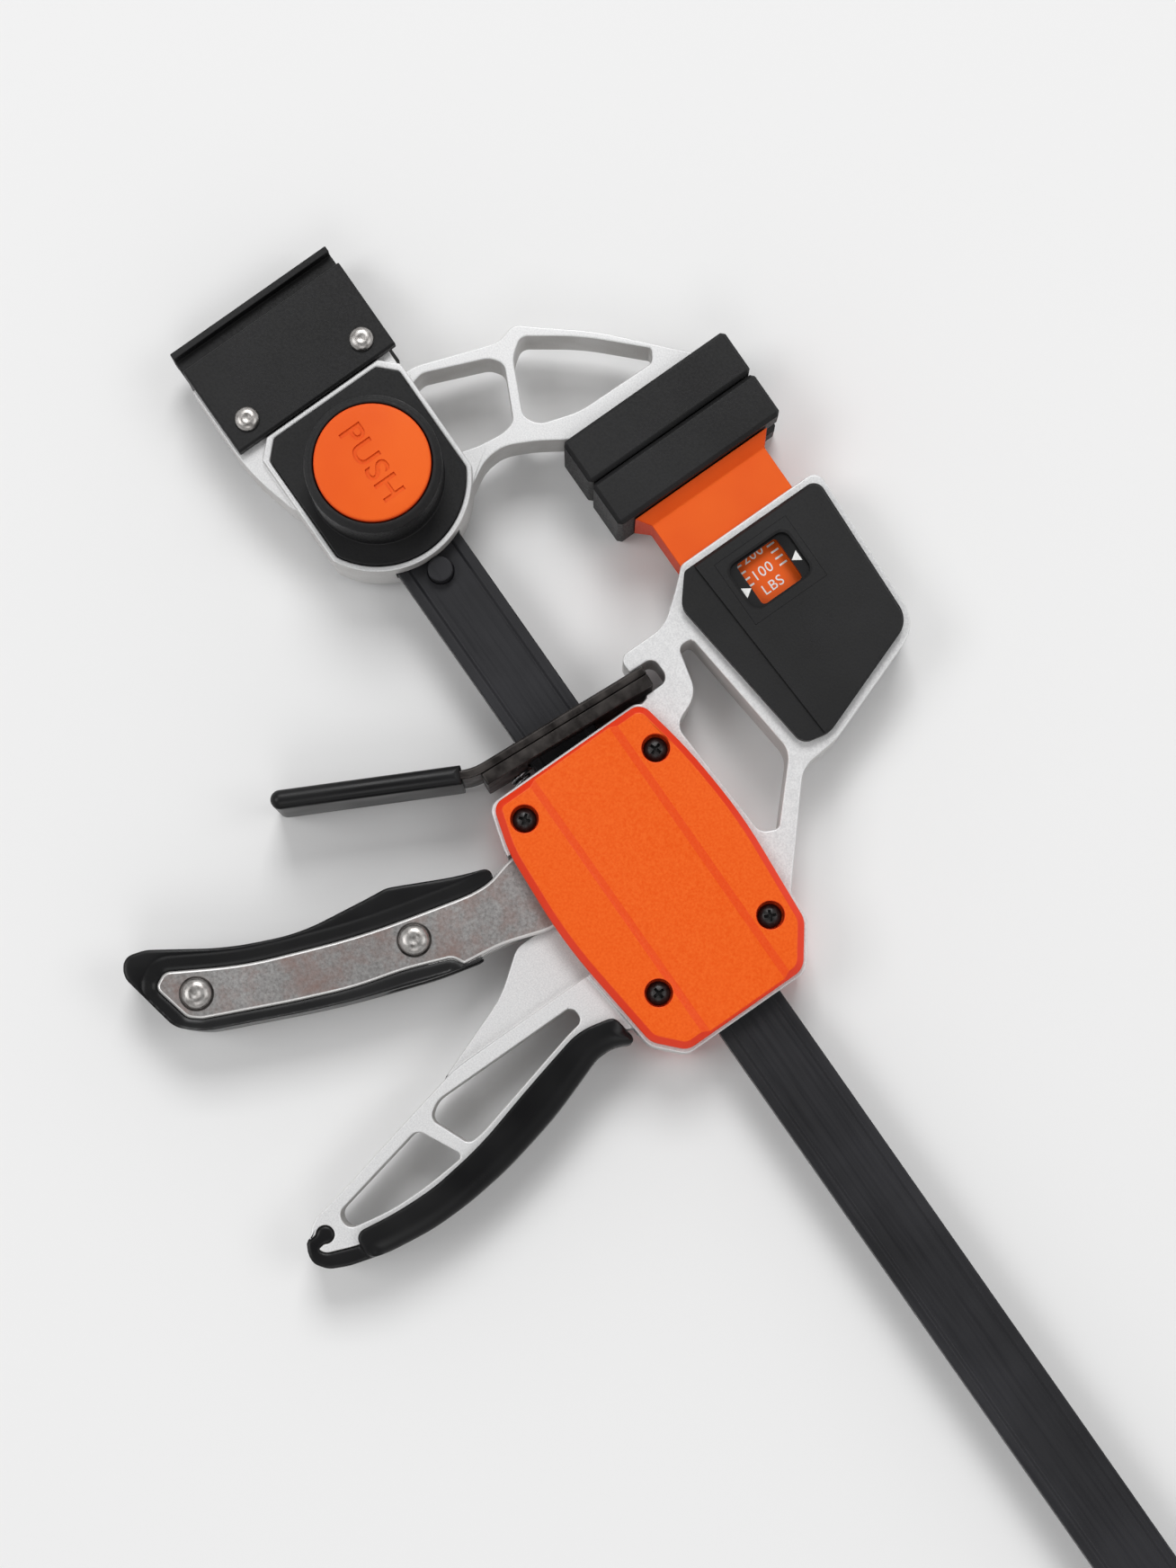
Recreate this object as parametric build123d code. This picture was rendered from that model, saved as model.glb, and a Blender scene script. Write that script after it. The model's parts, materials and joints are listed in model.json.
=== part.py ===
from build123d import *
from math import cos, floor, pi, radians, sin, sqrt
import os

# A one-handed bar clamp with a pressure gauge behind its moving pad.
# X runs along the bar from the fixed jaw to the free end, and is zero where the pads meet.
# Y runs across the bar towards the jaws, and is zero on the bar's axis.
# Z is square to the clamp's flat sides, is zero in the bar's middle, and the front faces +Z.
# Lengths are in millimetres and angles in degrees.

# Bar and its two stop pins
opening_length = 305.0
bar_width = 19.0
bar_thickness = 6.5
bar_bead = 2.4
bar_groove_depth = 0.7
bar_corner_share = 0.4
bar_tail = 14.0
bar_end_margin = 8.0
stop_pin_radius = 3.3
stop_pin_stand = 2.6

# Fits, and how far a cut runs past the face that it opens
slide_gap = 0.2
seat_gap = 0.3
pin_gap = 0.05
overrun = 3.0
hairline = 1e-6

# Pads, and the T-shaped heads that carry them
jaw_height = 68.0
jaw_gap = 0.3
pad_length = 50.0
pad_width = 25.0
pad_thickness = 12.7
pad_bevel = 1.0
tee_cover = 3.4
tee_thickness = 4.0
tee_width = 18.0
tee_length = 42.0
neck_width = 9.0
neck_length = 36.0

# Fixed jaw casting
lock_setback = 33.4
head_thickness = 18.0
arm_thickness = 14.0
tail_length = 20.5
tail_rise = 21.0
tail_drop = 26.0
fairing_arc_share = 0.9
foot_arc_share = 0.5

# Lock housing, push button and lock pin
housing_radius = 22.6
housing_width = 39.6
housing_tail = 22.8
housing_cut = 4.2
housing_rim = 1.6
housing_sink = 2.0
housing_stand = 1.2
collar_radius = 17.3
collar_height = 15.2
collar_bevel = 1.4
button_radius = 14.7
button_wall = 2.4
button_top = 3.2
button_stand = 0.8
button_travel = 6.9
land_radius = 4.5
land_engagement = 1.15
waist_radius = 2.75
waist_gap = 0.35
button_spring_radius = 9.0
button_spring_wire = 1.3
lock_floor = 1.3

# Joining rail on the tail of the fixed jaw
rail_length = 48.4
rail_drop = 1.0
rail_wall = 3.3
rail_web = 4.8
rail_neck = 4.9
rail_neck_thickness = 5.2
rail_lip = 1.8
rail_lip_thickness = 11.0
rail_bevel = 0.5
rail_rivet_inset = 5.8
rail_rivet_spacing = 35.4
rail_rivet_radius = 1.8
rail_rivet_head_radius = 3.15
rail_rivet_head_height = 1.5

# Carriage body, with its covers
body_setback = 51.3
body_length = 81.0
body_rise = 27.5
body_drop = 30.0
body_wall = 4.5
plate_room = 0.95
cover_room = 1.3
cover_inset = 0.9
cover_height = 5.0
cover_bevel = 1.8
channel_width = 25.0
channel_depth = 1.0
cover_bore_radius = 3.6
cover_bore_floor = 1.0

# Trigger, its pivot pin and the drive plate
trigger_setback = 24.4
pivot_rise = 5.5
pivot_radius = 2.5
pivot_lug = 4.2
trigger_length = 141.0
trigger_width = 56.7
trigger_heel = 10.5
trigger_eye = 6.0
trigger_plate = 2.5
trigger_grip_thickness = 16.6
trigger_seat = 0.15
trigger_rivet_radius = 2.5
trigger_rivet_head_radius = 4.2
trigger_rivet_head_height = 2.0
drive_plate_thickness = 4.0
drive_plate_rise = 16.5
drive_plate_drop = 13.5
drive_plate_bevel = 0.4
drive_spring_radius = 2.3
drive_spring_wire = 1.0
drive_spring_length = 18.0

# Release lever, locking plate and brake spring
lever_thickness = 2.4
lock_plate_thickness = 3.2
lever_width = 22.0
lever_rest_tilt = 3.7
lever_bend = 23.5
lever_bend_share = 0.12
lever_tab = 50.0
lever_sink = 1.2
lever_foot = 52.0
lock_plate_end = 1.5
lever_bore_gap = 0.4
lever_bevel = 0.4
hook_room = 0.6
hook_depth = 2.8
hook_setback = 4.1
hook_rise_share = 0.6645
hook_arc_share = 0.7
sleeve_thickness = 5.0
sleeve_width = 24.0
sleeve_start = 3.5
sleeve_bevel = 0.9
sleeve_nose = 9.0
sleeve_nose_share = 0.62
root_arc_share = 0.5
nose_arc_share = 0.9
brake_spring_radius = 2.3
brake_spring_wire = 1.0
brake_spring_turns = 3
brake_wire_sides = 3
brake_spring_drop = 4.1
brake_bore_depth = 8.0

# Gauge behind the moving pad
plunger_reach = 16.0
plunger_height = 35.0
plunger_thickness = 12.6
plunger_slide = 26.0
plunger_travel = 9.5
flare_length = 3.5
flare_grow = 3.0
gauge_wall = 3.8
gauge_spring_radius = 5.6
gauge_spring_wire = 2.0
gauge_spring_length = 22.0
gauge_cover_height = 3.5
gauge_cover_bevel = 0.8
window_length = 15.4
window_height = 19.0
window_depth = 1.6
window_setback = 14.6
sight_length = 12.8
sight_height = 13.0
scale_length = 22.0
scale_thickness = 0.8
scale_height = 12.8
gauge_step = 0.7
tower_root = 81.0

# Handle and its grip
handle_setback = 33.4
handle_width = 47.0
handle_length = 104.0
handle_overlap = 6.0
handle_thickness = 14.0
web_room = 0.7
grip_thickness = 19.0
grip_tail_thickness = 13.6
keyhole_radius = 2.4
keyhole_neck = 3.2

# Sides of the rivets and of the hidden springs, and the slope of a rivet's head
small_sides = 12
rivet_slope = 35.0

# Outlines: corners as shares of a box, with the share of the free run that each corner's arc takes
arm_shares = [
    (0.10, 0.17, 0.0), (0.11, 0.26, 0.5), (0.245, 0.44, 0.6), (0.28, 0.49, 0.8), (0.24, 0.545, 0.8),
    (0.34, 0.60, 0.6), (0.56, 0.725, 0.8), (1.0, 0.91, 0.0), (1.0, 0.495, 0.0), (0.89, 0.42, 0.8),
    (0.80, 0.335, 0.9), (0.805, 0.27, 0.9), (0.885, 0.205, 0.8), (0.97, 0.12, 0.0), (0.60, 0.10, 0.0),
]
arm_upper_shares = [
    (0.325, 0.545, 0.7), (0.53, 0.68, 0.8), (0.83, 0.82, 0.5), (0.90, 0.80, 0.7),
    (0.89, 0.56, 0.6), (0.815, 0.45, 0.8), (0.725, 0.425, 0.8), (0.40, 0.495, 0.8),
]
arm_lower_shares = [
    (0.17, 0.265, 0.7), (0.325, 0.44, 0.8), (0.405, 0.465, 0.8), (0.715, 0.395, 0.8),
    (0.735, 0.355, 0.8), (0.715, 0.28, 0.8), (0.68, 0.225, 0.5), (0.19, 0.225, 0.7),
]
tower_shares = [
    (0.0, 1.154, 0.25), (0.0, 2.0, 0.15), (1.306, 1.968, 0.35), (1.456, 1.293, 0.5), (1.468, 1.07, 0.6),
    (1.736, 0.649, 0.4), (1.86, 0.465, 0.0), (1.032, 0.368, 0.0), (1.007, 0.562, 0.0), (0.466, 0.562, 0.4),
    (0.466, 0.887, 0.7), (0.21, 1.051, 0.7),
]
triangle_shares = [
    (0.759, 0.887, 0.8), (0.759, 0.98, 0.8), (1.401, 1.061, 0.3), (1.582, 0.757, 0.5),
    (1.558, 0.655, 0.8), (1.131, 0.61, 0.6), (1.088, 0.817, 0.8),
]
gauge_cover_shares = [
    (0.098, 1.141, 0.15), (0.098, 1.963, 0.15), (1.283, 1.931, 0.25), (1.428, 1.28, 0.5),
    (1.408, 1.133, 0.7), (0.419, 1.024, 0.5),
]
gauge_step_shares = [
    (-0.233, 0.865, 0.0), (-0.233, 1.189, 0.0), (1.554, 1.265, 0.0), (1.554, 0.865, 0.0),
]
body_shares = [
    (0.0, 0.095, 0.4), (0.0, 0.915, 0.35), (0.23, 0.975, 0.9), (0.49, 1.0, 0.9), (0.87, 0.96, 0.25),
    (1.0, 0.825, 0.4), (1.0, 0.185, 0.4), (0.91, 0.065, 0.4), (0.49, 0.0, 0.9), (0.155, 0.03, 0.6),
]
body_bore_shares = [(0.158, 0.838), (0.791, 0.83), (0.104, 0.186), (0.79, 0.231)]
handle_shares = [
    (0.35, 1.02, 0.0), (0.35, 0.56, 0.6), (0.40, 0.45, 0.8), (0.555, 0.14, 0.6), (0.585, 0.058, 0.7),
    (0.672, 0.018, 0.6), (0.768, 0.036, 0.5), (0.836, 0.115, 0.6), (0.906, 0.26, 0.8), (0.904, 0.385, 0.8),
    (0.862, 0.53, 0.8), (0.666, 0.846, 0.8), (0.69, 0.933, 0.8), (0.772, 1.02, 0.0),
]
handle_upper_shares = [
    (0.436, 0.88, 0.9), (0.436, 0.476, 0.8), (0.496, 0.436, 0.8), (0.728, 0.48, 0.8),
    (0.723, 0.52, 0.8), (0.55, 0.836, 0.8), (0.535, 0.88, 0.8),
]
handle_lower_shares = [
    (0.502, 0.394, 0.3), (0.63, 0.117, 0.9), (0.734, 0.117, 0.9), (0.782, 0.23, 0.8),
    (0.786, 0.336, 0.8), (0.765, 0.452, 0.3),
]
web_shares = [
    (0.0, 1.048, 0.0), (0.0, 0.851, 0.3), (0.17, 0.75, 0.6), (0.36, 0.52, 0.5), (0.43, 0.48, 0.0),
    (0.43, 1.048, 0.0),
]
grip_shares = [
    (0.615, 0.95, 0.4), (0.568, 0.856, 0.8), (0.66, 0.683, 0.8), (0.77, 0.50, 0.8), (0.815, 0.346, 0.8),
    (0.806, 0.231, 0.8), (0.77, 0.12, 0.8), (0.934, 0.12, 0.8), (0.965, 0.173, 0.8), (0.998, 0.288, 0.8),
    (0.994, 0.394, 0.8), (0.962, 0.519, 0.8), (0.877, 0.692, 0.8), (0.745, 0.861, 0.8),
    (0.752, 0.913, 0.8), (0.815, 0.962, 0.95),
]
grip_tail_shares = [
    (0.76, 0.154, 0.0), (0.955, 0.154, 0.0), (0.90, 0.067, 0.6), (0.85, 0.02, 0.7), (0.775, -0.004, 0.8),
    (0.70, 0.002, 0.8), (0.645, 0.022, 0.6), (0.67, 0.05, 0.0), (0.72, 0.06, 0.0),
]
keyhole_shares = (0.684, 0.0625)
keyhole_mouth_shares = (0.70, 0.012)
trigger_shares = [
    (0.709, 1.0, 0.0), (0.921, 1.0, 0.0), (0.933, 0.922, 0.0), (0.979, 0.851, 0.0), (0.979, 0.812, 0.0),
    (0.944, 0.77, 0.0), (1.0, 0.73, 0.0), (1.0, 0.681, 0.6), (0.929, 0.596, 0.7), (0.903, 0.518, 0.4),
    (0.85, 0.507, 0.7), (0.771, 0.425, 0.6), (0.709, 0.333, 0.8), (0.603, 0.227, 0.8), (0.43, 0.073, 0.4),
    (0.388, 0.052, 0.7), (0.194, 0.035, 0.7), (0.155, 0.065, 0.7), (0.338, 0.192, 0.8),
    (0.533, 0.397, 0.8), (0.658, 0.596, 0.8), (0.667, 0.638, 0.8), (0.63, 0.695, 0.7), (0.652, 0.894, 0.8),
]
trigger_grip_shares = [
    (0.617, 0.66, 0.8), (0.559, 0.596, 0.8), (0.422, 0.482, 0.5), (0.413, 0.447, 0.8), (0.365, 0.305, 0.8),
    (0.233, 0.184, 0.8), (0.03, 0.062, 0.5), (0.0, 0.022, 0.9), (0.07, 0.0, 0.9), (0.392, 0.024, 0.6),
    (0.485, 0.066, 0.7), (0.727, 0.284, 0.8), (0.886, 0.468, 0.8), (0.935, 0.55, 0.6),
    (0.895, 0.566, 0.6), (0.80, 0.55, 0.3), (0.69, 0.58, 0.5), (0.70, 0.64, 0.5),
]
trigger_slot_shares = [
    (0.688, 0.695, 0.0), (0.688, 0.60, 0.5), (0.785, 0.518, 0.5), (0.811, 0.425, 0.6),
    (0.785, 0.326, 0.0), (1.155, 0.326, 0.0), (1.155, 0.695, 0.0),
]
trigger_rivet_shares = [(0.684, 0.4695), (0.321, 0.091)]

# Places worked out from the sizes above
lock_x = -lock_setback
head_half = head_thickness / 2
arm_half = arm_thickness / 2
pad_back = jaw_gap / 2 + pad_thickness
seat_x = pad_back + seat_gap
jaw_top = jaw_height + pad_length / 2
head_right = lock_x + housing_radius + housing_rim
head_left = lock_x - housing_tail - housing_rim
bar_start = lock_x - bar_tail
body_right = body_setback + body_length
front_stop_x = head_right + seat_gap + stop_pin_radius
end_stop_x = body_right + opening_length + seat_gap + stop_pin_radius
bar_end = end_stop_x + bar_end_margin
pocket_y = bar_width / 2 + slide_gap
pocket_z = bar_thickness / 2 + slide_gap
plate_inner = bar_thickness / 2 + plate_room
plate_outer = plate_inner + trigger_plate
casting_half = plate_outer + cover_room
rear_depth = casting_half + cover_height
web_half = plate_inner - web_room
lug_half = plate_inner - seat_gap
gauge_left = seat_x + plunger_reach
pivot_x = body_setback + trigger_setback
pivot_y = bar_width / 2 + pivot_rise
hook_x = body_setback - hook_setback
jaw_low = jaw_height - pad_length / 2
hook_y = hook_rise_share * jaw_low
recess_z = head_half - housing_sink
base_z = head_half + housing_stand
collar_z = base_z + collar_height
button_z = collar_z + button_stand
rail_right = head_left - seat_gap
rail_half = arm_half + slide_gap + rail_wall
tail_left = rail_right - tail_length
rail_body_left = tail_left - rail_web
scale_x = gauge_left + slide_gap

# Boxes that the outlines are shares of: the stations along X, then those along Y
arm_box = ((lock_x - housing_tail, -seat_x), (0, jaw_top))
tower_box = ((gauge_left, body_setback, body_setback + tower_root), (0, jaw_low, jaw_top))
body_box = ((body_setback, body_right), (-body_drop, body_rise))
handle_left = body_setback + handle_setback
handle_top = handle_overlap - body_drop
handle_box = ((handle_left, handle_left + handle_width), (handle_top - handle_length, handle_top))
trigger_right = pivot_x + trigger_heel
trigger_box = ((trigger_right - trigger_width, trigger_right), (pivot_y - trigger_length, pivot_y))


def along(share, stations):
    """Place at a share that counts stations: 1.5 is midway between the second and the third."""
    step = min(max(floor(share), 0), len(stations) - 2)
    return stations[step] + (share - step) * (stations[step + 1] - stations[step])


def place(shares, box):
    """Point at a pair of shares of a box."""
    return along(shares[0], box[0]), along(shares[1], box[1])


def spread(shares, box):
    """Corners of an outline at their shares of a box, each with its arc's share."""
    return [(*place(corner, box), corner[2]) for corner in shares]


def shrink(box, margin):
    """Box with the same margin taken off each side."""
    return [(low + margin, high - margin) for low, high in box]


def outline(corners):
    """Closed face through corners, whose arcs take their share of half the shorter run beside them."""
    spots = [Vector(x, y) for x, y, _ in corners]
    ends = []
    for count, spot in enumerate(spots):
        back = spots[count - 1] - spot
        ahead = spots[(count + 1) % len(spots)] - spot
        reach = corners[count][2] * min(back.length, ahead.length) / 2
        ends.append((spot + back.normalized() * reach, spot + ahead.normalized() * reach))
    edges = []
    for count, (entry, leave) in enumerate(ends):
        if corners[count][2]:
            edges.append(TangentArc(entry, leave, tangent=spots[count] - entry))
        following = ends[(count + 1) % len(ends)][0]
        if (following - leave).length > hairline:
            edges.append(Line(leave, following))
    return make_face(edges)


def shape(shares, box):
    """Face of an outline given in shares of a box."""
    return outline(spread(shares, box))


def slab(face, low, high):
    """Flat piece with the outline of a face, between two heights."""
    return Pos(0, 0, low) * extrude(face, high - low)


def bevelled(face, low, high, bevel):
    """Flat piece with its front and rear edges bevelled."""
    piece = slab(face, low, high)
    sides = piece.faces().sort_by(Axis.Z)
    return chamfer(sides[0].edges() + sides[-1].edges(), bevel)


def block(x_low, x_high, y_low, y_high, z_low, z_high):
    """Box between six limits."""
    middle = Pos((x_low + x_high) / 2, (y_low + y_high) / 2, (z_low + z_high) / 2)
    return middle * Box(x_high - x_low, y_high - y_low, z_high - z_low)


def panel(x_low, x_high, y_low, y_high):
    """Flat rectangle between four limits."""
    return Pos((x_low + x_high) / 2, (y_low + y_high) / 2) * Rectangle(x_high - x_low, y_high - y_low)


def post(x, y, radius, low, high):
    """Round post along Z between two heights."""
    return Pos(x, y, (low + high) / 2) * Cylinder(radius, high - low)


def across(x, y, z=0):
    """Plane at a point whose own Z runs along the bar."""
    return Plane(origin=(x, y, z), x_dir=(0, 1, 0), z_dir=(1, 0, 0))


def peg(x, y, radius, low, high):
    """Many-sided peg along Z between two heights."""
    return Pos(x, y, low) * extrude(RegularPolygon(radius, small_sides), high - low)


def rivet(shank_radius, head_radius, head_height, half_grip):
    """Rivet along Z through a stack, with a sloping head at both ends."""
    head = extrude(RegularPolygon(head_radius, small_sides), head_height, taper=rivet_slope)
    upper = peg(0, 0, shank_radius, 0, half_grip) + Pos(0, 0, half_grip) * head
    return upper + mirror(upper, Plane.XY)


def spring_form(radius, wire, length):
    """Outer form of a hidden compression spring along Z, from zero to its length."""
    return peg(0, 0, radius + wire / 2, 0, length) - peg(0, 0, radius - wire / 2, 0, length)


def biarc(start, leaving, end, arriving):
    """Two arcs, tangent where they meet, between two points with given headings."""
    span = end - start
    both = leaving + arriving
    square = 4 - both.dot(both)
    half_middle = span.dot(both)
    reach = (sqrt(half_middle * half_middle + square * span.dot(span)) - half_middle) / square
    first = start + leaving * reach
    last = end - arriving * reach
    joint = (first + last) / 2
    return [TangentArc(start, joint, tangent=leaving), TangentArc(joint, end, tangent=last - first)]


def turn_point(radius, pitch, foot, turn):
    """Point of a helix along Z after a number of turns."""
    return Vector(radius * cos(2 * pi * turn), radius * sin(2 * pi * turn), foot + pitch * turn)


def turn_heading(radius, pitch, turn):
    """Heading of that helix after a number of turns."""
    around = 2 * pi * radius
    return Vector(-around * sin(2 * pi * turn), around * cos(2 * pi * turn), pitch).normalized()


def coil(name, radius, wire, sides, length, turns):
    """Compression spring along Z from zero to its length, as one wire swept on arcs."""
    pitch = (length - wire) / turns
    quarters = [count / 4 for count in range(4 * turns + 1)]
    edges = []
    for low, high in zip(quarters, quarters[1:]):
        start = turn_point(radius, pitch, wire / 2, low)
        end = turn_point(radius, pitch, wire / 2, high)
        edges += biarc(start, turn_heading(radius, pitch, low), end, turn_heading(radius, pitch, high))
    points = [turn_point(radius, pitch, wire / 2, count / 24) for count in range(24 * turns + 1)]
    apart = [(a - b).length for place_a, a in enumerate(points) for b in points[place_a + 12:]]
    print(name, "least gap between turns", round(min(apart) - wire, 2), "mm")
    section = Plane(origin=points[0], z_dir=turn_heading(radius, pitch, 0)) * RegularPolygon(wire / 2, sides)
    return sweep(section, path=Wire(edges))


def make_bar():
    """Steel bar with raised edges, the lock pin's seat in its tail and holes for the stop pins."""
    half = bar_width / 2
    thick = bar_thickness / 2
    lip = half - bar_bead
    foot = lip - bar_groove_depth
    floor = thick - bar_groove_depth
    upper = [(half, thick, bar_corner_share), (lip, thick, 0), (foot, floor, 0)]
    upper += [(-x, y, turn) for x, y, turn in reversed(upper)]
    lower = [(x, -y, turn) for x, y, turn in reversed(upper)]
    bar = Pos(bar_start, 0, 0) * extrude(Plane.YZ * outline(upper + lower), bar_end - bar_start)
    bar -= post(lock_x, 0, land_radius + seat_gap, -bar_thickness, bar_thickness)
    mouth = waist_radius + waist_gap
    bar -= block(bar_start - overrun, lock_x, -mouth, mouth, -bar_thickness, bar_thickness)
    for x in (front_stop_x, end_stop_x):
        bar -= post(x, 0, stop_pin_radius + pin_gap, -bar_thickness, bar_thickness)
    return bar


def make_stop_pins():
    """One pin against the fixed jaw and one near the bar's free end."""
    reach = bar_thickness / 2 + stop_pin_stand
    return Part() + [post(x, 0, stop_pin_radius, -reach, reach) for x in (front_stop_x, end_stop_x)]


def make_tee():
    """T-shaped head that carries a pad, on the moving side."""
    front = jaw_gap / 2 + tee_cover
    back = front + tee_thickness
    low = jaw_height - tee_length / 2
    neck_low = jaw_height - neck_length / 2
    head = block(front, back, low, low + tee_length, -tee_width / 2, tee_width / 2)
    neck = block(back, seat_x, neck_low, neck_low + neck_length, -neck_width / 2, neck_width / 2)
    return head + neck


def make_pad():
    """Jaw pad on the moving side: a bevelled block with a T-slot that opens at its outer end."""
    low = jaw_height - pad_length / 2
    pad = block(jaw_gap / 2, pad_back, low, low + pad_length, -pad_width / 2, pad_width / 2)
    pad = chamfer(pad.edges(), pad_bevel)
    front = jaw_gap / 2 + tee_cover - slide_gap
    back = front + tee_thickness + 2 * slide_gap
    half = tee_width / 2 + slide_gap
    neck_half = neck_width / 2 + slide_gap
    open_end = jaw_top + overrun
    pad -= block(front, back, jaw_height - tee_length / 2 - slide_gap, open_end, -half, half)
    neck_low = jaw_height - neck_length / 2 - slide_gap
    return pad - block(back, pad_back + overrun, neck_low, open_end, -neck_half, neck_half)


def head_face(margin):
    """Outline of the lock housing, grown by a margin: square tail with cut corners and a round front."""
    reach = housing_radius + margin
    half = housing_width / 2 + margin
    left = lock_x - housing_tail - margin
    flat = outline([
        (left, housing_cut - half, 0), (left + housing_cut, -half, 0), (lock_x + reach, -half, 0),
        (lock_x + reach, half, 0), (left + housing_cut, half, 0), (left, half - housing_cut, 0),
    ])
    return flat & (Pos(lock_x, 0) * Circle(reach) + panel(left, lock_x, -half, half))


def rail_rivet_places():
    """Two rivets through the rail and the tail."""
    x = rail_right - rail_rivet_inset
    return [(x, side * rail_rivet_spacing / 2 - rail_drop) for side in (-1, 1)]


def make_fixed_jaw_frame():
    """Casting of the fixed jaw: head round the bar's end, open arm, pad head and tail plate."""
    half = housing_width / 2 + housing_rim
    head = slab(head_face(housing_rim), -head_half, head_half)
    openings = shape(arm_upper_shares, arm_box) + shape(arm_lower_shares, arm_box)
    arm = slab(shape(arm_shares, arm_box) - openings, -arm_half, arm_half)
    fairing = head_left + tail_drop - half
    tail = outline([
        (tail_left, -tail_drop, 0), (fairing, -tail_drop, fairing_arc_share),
        (lock_x - waist_radius, -half, foot_arc_share),
        (lock_x, 0, 0), (fairing, tail_rise, 0), (tail_left, tail_rise, 0),
    ])
    frame = head + arm + slab(tail, -arm_half, arm_half) + mirror(make_tee(), Plane.YZ)
    frame -= slab(head_face(slide_gap), recess_z, head_half + overrun)
    frame -= block(bar_start - seat_gap, head_right + overrun, -pocket_y, pocket_y, -pocket_z, pocket_z)
    frame -= post(lock_x, 0, waist_radius + pin_gap, 0, head_half + overrun)
    frame -= post(lock_x, 0, land_radius + seat_gap, -head_half - overrun, 0)
    for x, y in rail_rivet_places():
        frame -= peg(x, y, rail_rivet_radius + pin_gap, -head_half - overrun, head_half + overrun)
    return frame


def make_joining_rail():
    """Rail that grips both faces of the tail and ends in a T edge for a second clamp."""
    lip_x = rail_body_left - rail_neck
    lip = rail_lip_thickness / 2
    neck = rail_neck_thickness / 2
    inner = arm_half + slide_gap
    side = [
        (lip_x - rail_lip, lip), (lip_x, lip), (lip_x, neck), (rail_body_left, neck),
        (rail_body_left, rail_half), (rail_right, rail_half), (rail_right, inner),
        (tail_left - slide_gap, inner),
    ]
    section = make_face(Polyline(*side, *[(x, -z) for x, z in reversed(side)], close=True))
    rail = Pos(0, -rail_drop, 0) * extrude(Plane.XZ * section, rail_length / 2, both=True)
    front = rail.faces().sort_by(Axis.Z)[-1]
    rear = rail.faces().sort_by(Axis.Z)[0]
    rail = chamfer(front.edges() + rear.edges(), rail_bevel)
    for x, y in rail_rivet_places():
        rail -= peg(x, y, rail_rivet_radius + pin_gap, -rail_half - overrun, rail_half + overrun)
    return rail


def make_rail_rivets():
    """Rivets that hold the joining rail."""
    one = rivet(rail_rivet_radius, rail_rivet_head_radius, rail_rivet_head_height, rail_half)
    return Part() + [Pos(x, y, 0) * one for x, y in rail_rivet_places()]


def make_lock_housing_front():
    """Base plate let into the casting, with the round collar that guides the button."""
    base = slab(head_face(0), recess_z, base_z)
    collar = post(lock_x, 0, collar_radius, recess_z, collar_z)
    collar = chamfer(collar.edges().sort_by(Axis.Z)[-1], collar_bevel)
    housing = base + collar
    return housing - post(lock_x, 0, button_radius + seat_gap, recess_z - overrun, collar_z + overrun)


def make_lock_housing_rear():
    """Plate that closes the rear of the head, with room for the lock pin's stroke."""
    plate = slab(head_face(0), -rear_depth, -head_half)
    return plate - post(lock_x, 0, land_radius + seat_gap, lock_floor - rear_depth, overrun - head_half)


def make_push_button():
    """Hollow cap over the button's spring, which the lock pin hangs from."""
    foot = recess_z + button_travel + seat_gap
    cap = post(lock_x, 0, button_radius, foot, button_z)
    return cap - peg(lock_x, 0, button_radius - button_wall, foot - overrun, button_z - button_top)


def make_lock_pin():
    """Pin whose wide land fills the bar's seat, and whose waist clears the bar's mouth when pressed."""
    land = post(lock_x, 0, land_radius, -bar_thickness / 2 - land_engagement, pocket_z - pin_gap)
    return land + peg(lock_x, 0, waist_radius, 0, button_z - button_top - pin_gap)


def make_button_spring():
    """Spring between the casting and the underside of the button."""
    length = button_z - button_top - recess_z
    return Pos(lock_x, 0, recess_z) * spring_form(button_spring_radius, button_spring_wire, length)


def body_bore_places():
    """Four screw bores in each cover."""
    return [place(shares, body_box) for shares in body_bore_shares]


def drive_plate_x():
    """Near face of the drive plate, just clear of the trigger's nose."""
    return max(place(corner, trigger_box)[0] for corner in trigger_shares[:5]) + seat_gap


def drive_spring_y():
    """Height of the drive spring, midway in the part of the drive plate above the bar."""
    return (pocket_y + drive_plate_rise) / 2


def drive_seat_x():
    """Face that the drive spring pushes against."""
    return drive_plate_x() + drive_plate_thickness + drive_spring_length


def brake_spring_y():
    """Height of the brake spring, below the bar."""
    return -bar_width / 2 - brake_spring_drop


def make_carriage_solid():
    """Casting of the carriage before its inner parts: body, gauge tower and handle in one."""
    body = slab(shape(body_shares, body_box), -casting_half, casting_half)
    tower_face = shape(tower_shares, tower_box) - shape(triangle_shares, tower_box)
    tower = slab(tower_face, -casting_half, casting_half)
    openings = shape(handle_upper_shares, handle_box) + shape(handle_lower_shares, handle_box)
    handle_half = handle_thickness / 2
    return body + tower + slab(shape(handle_shares, handle_box) - openings, -handle_half, handle_half)


def make_trigger_room():
    """Space in the body for the trigger, the drive plate and its spring, open below for the trigger."""
    depth = casting_half + overrun
    left = place(trigger_shares[22], trigger_box)[0] - hook_room
    low = body_wall - body_drop
    room = block(left, drive_seat_x(), low, pivot_y + trigger_eye + seat_gap, -depth, depth)
    mouth_right = place(handle_shares[0], handle_box)[0]
    return room + block(left, mouth_right, -body_drop - overrun, low + overrun, -depth, depth)


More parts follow.
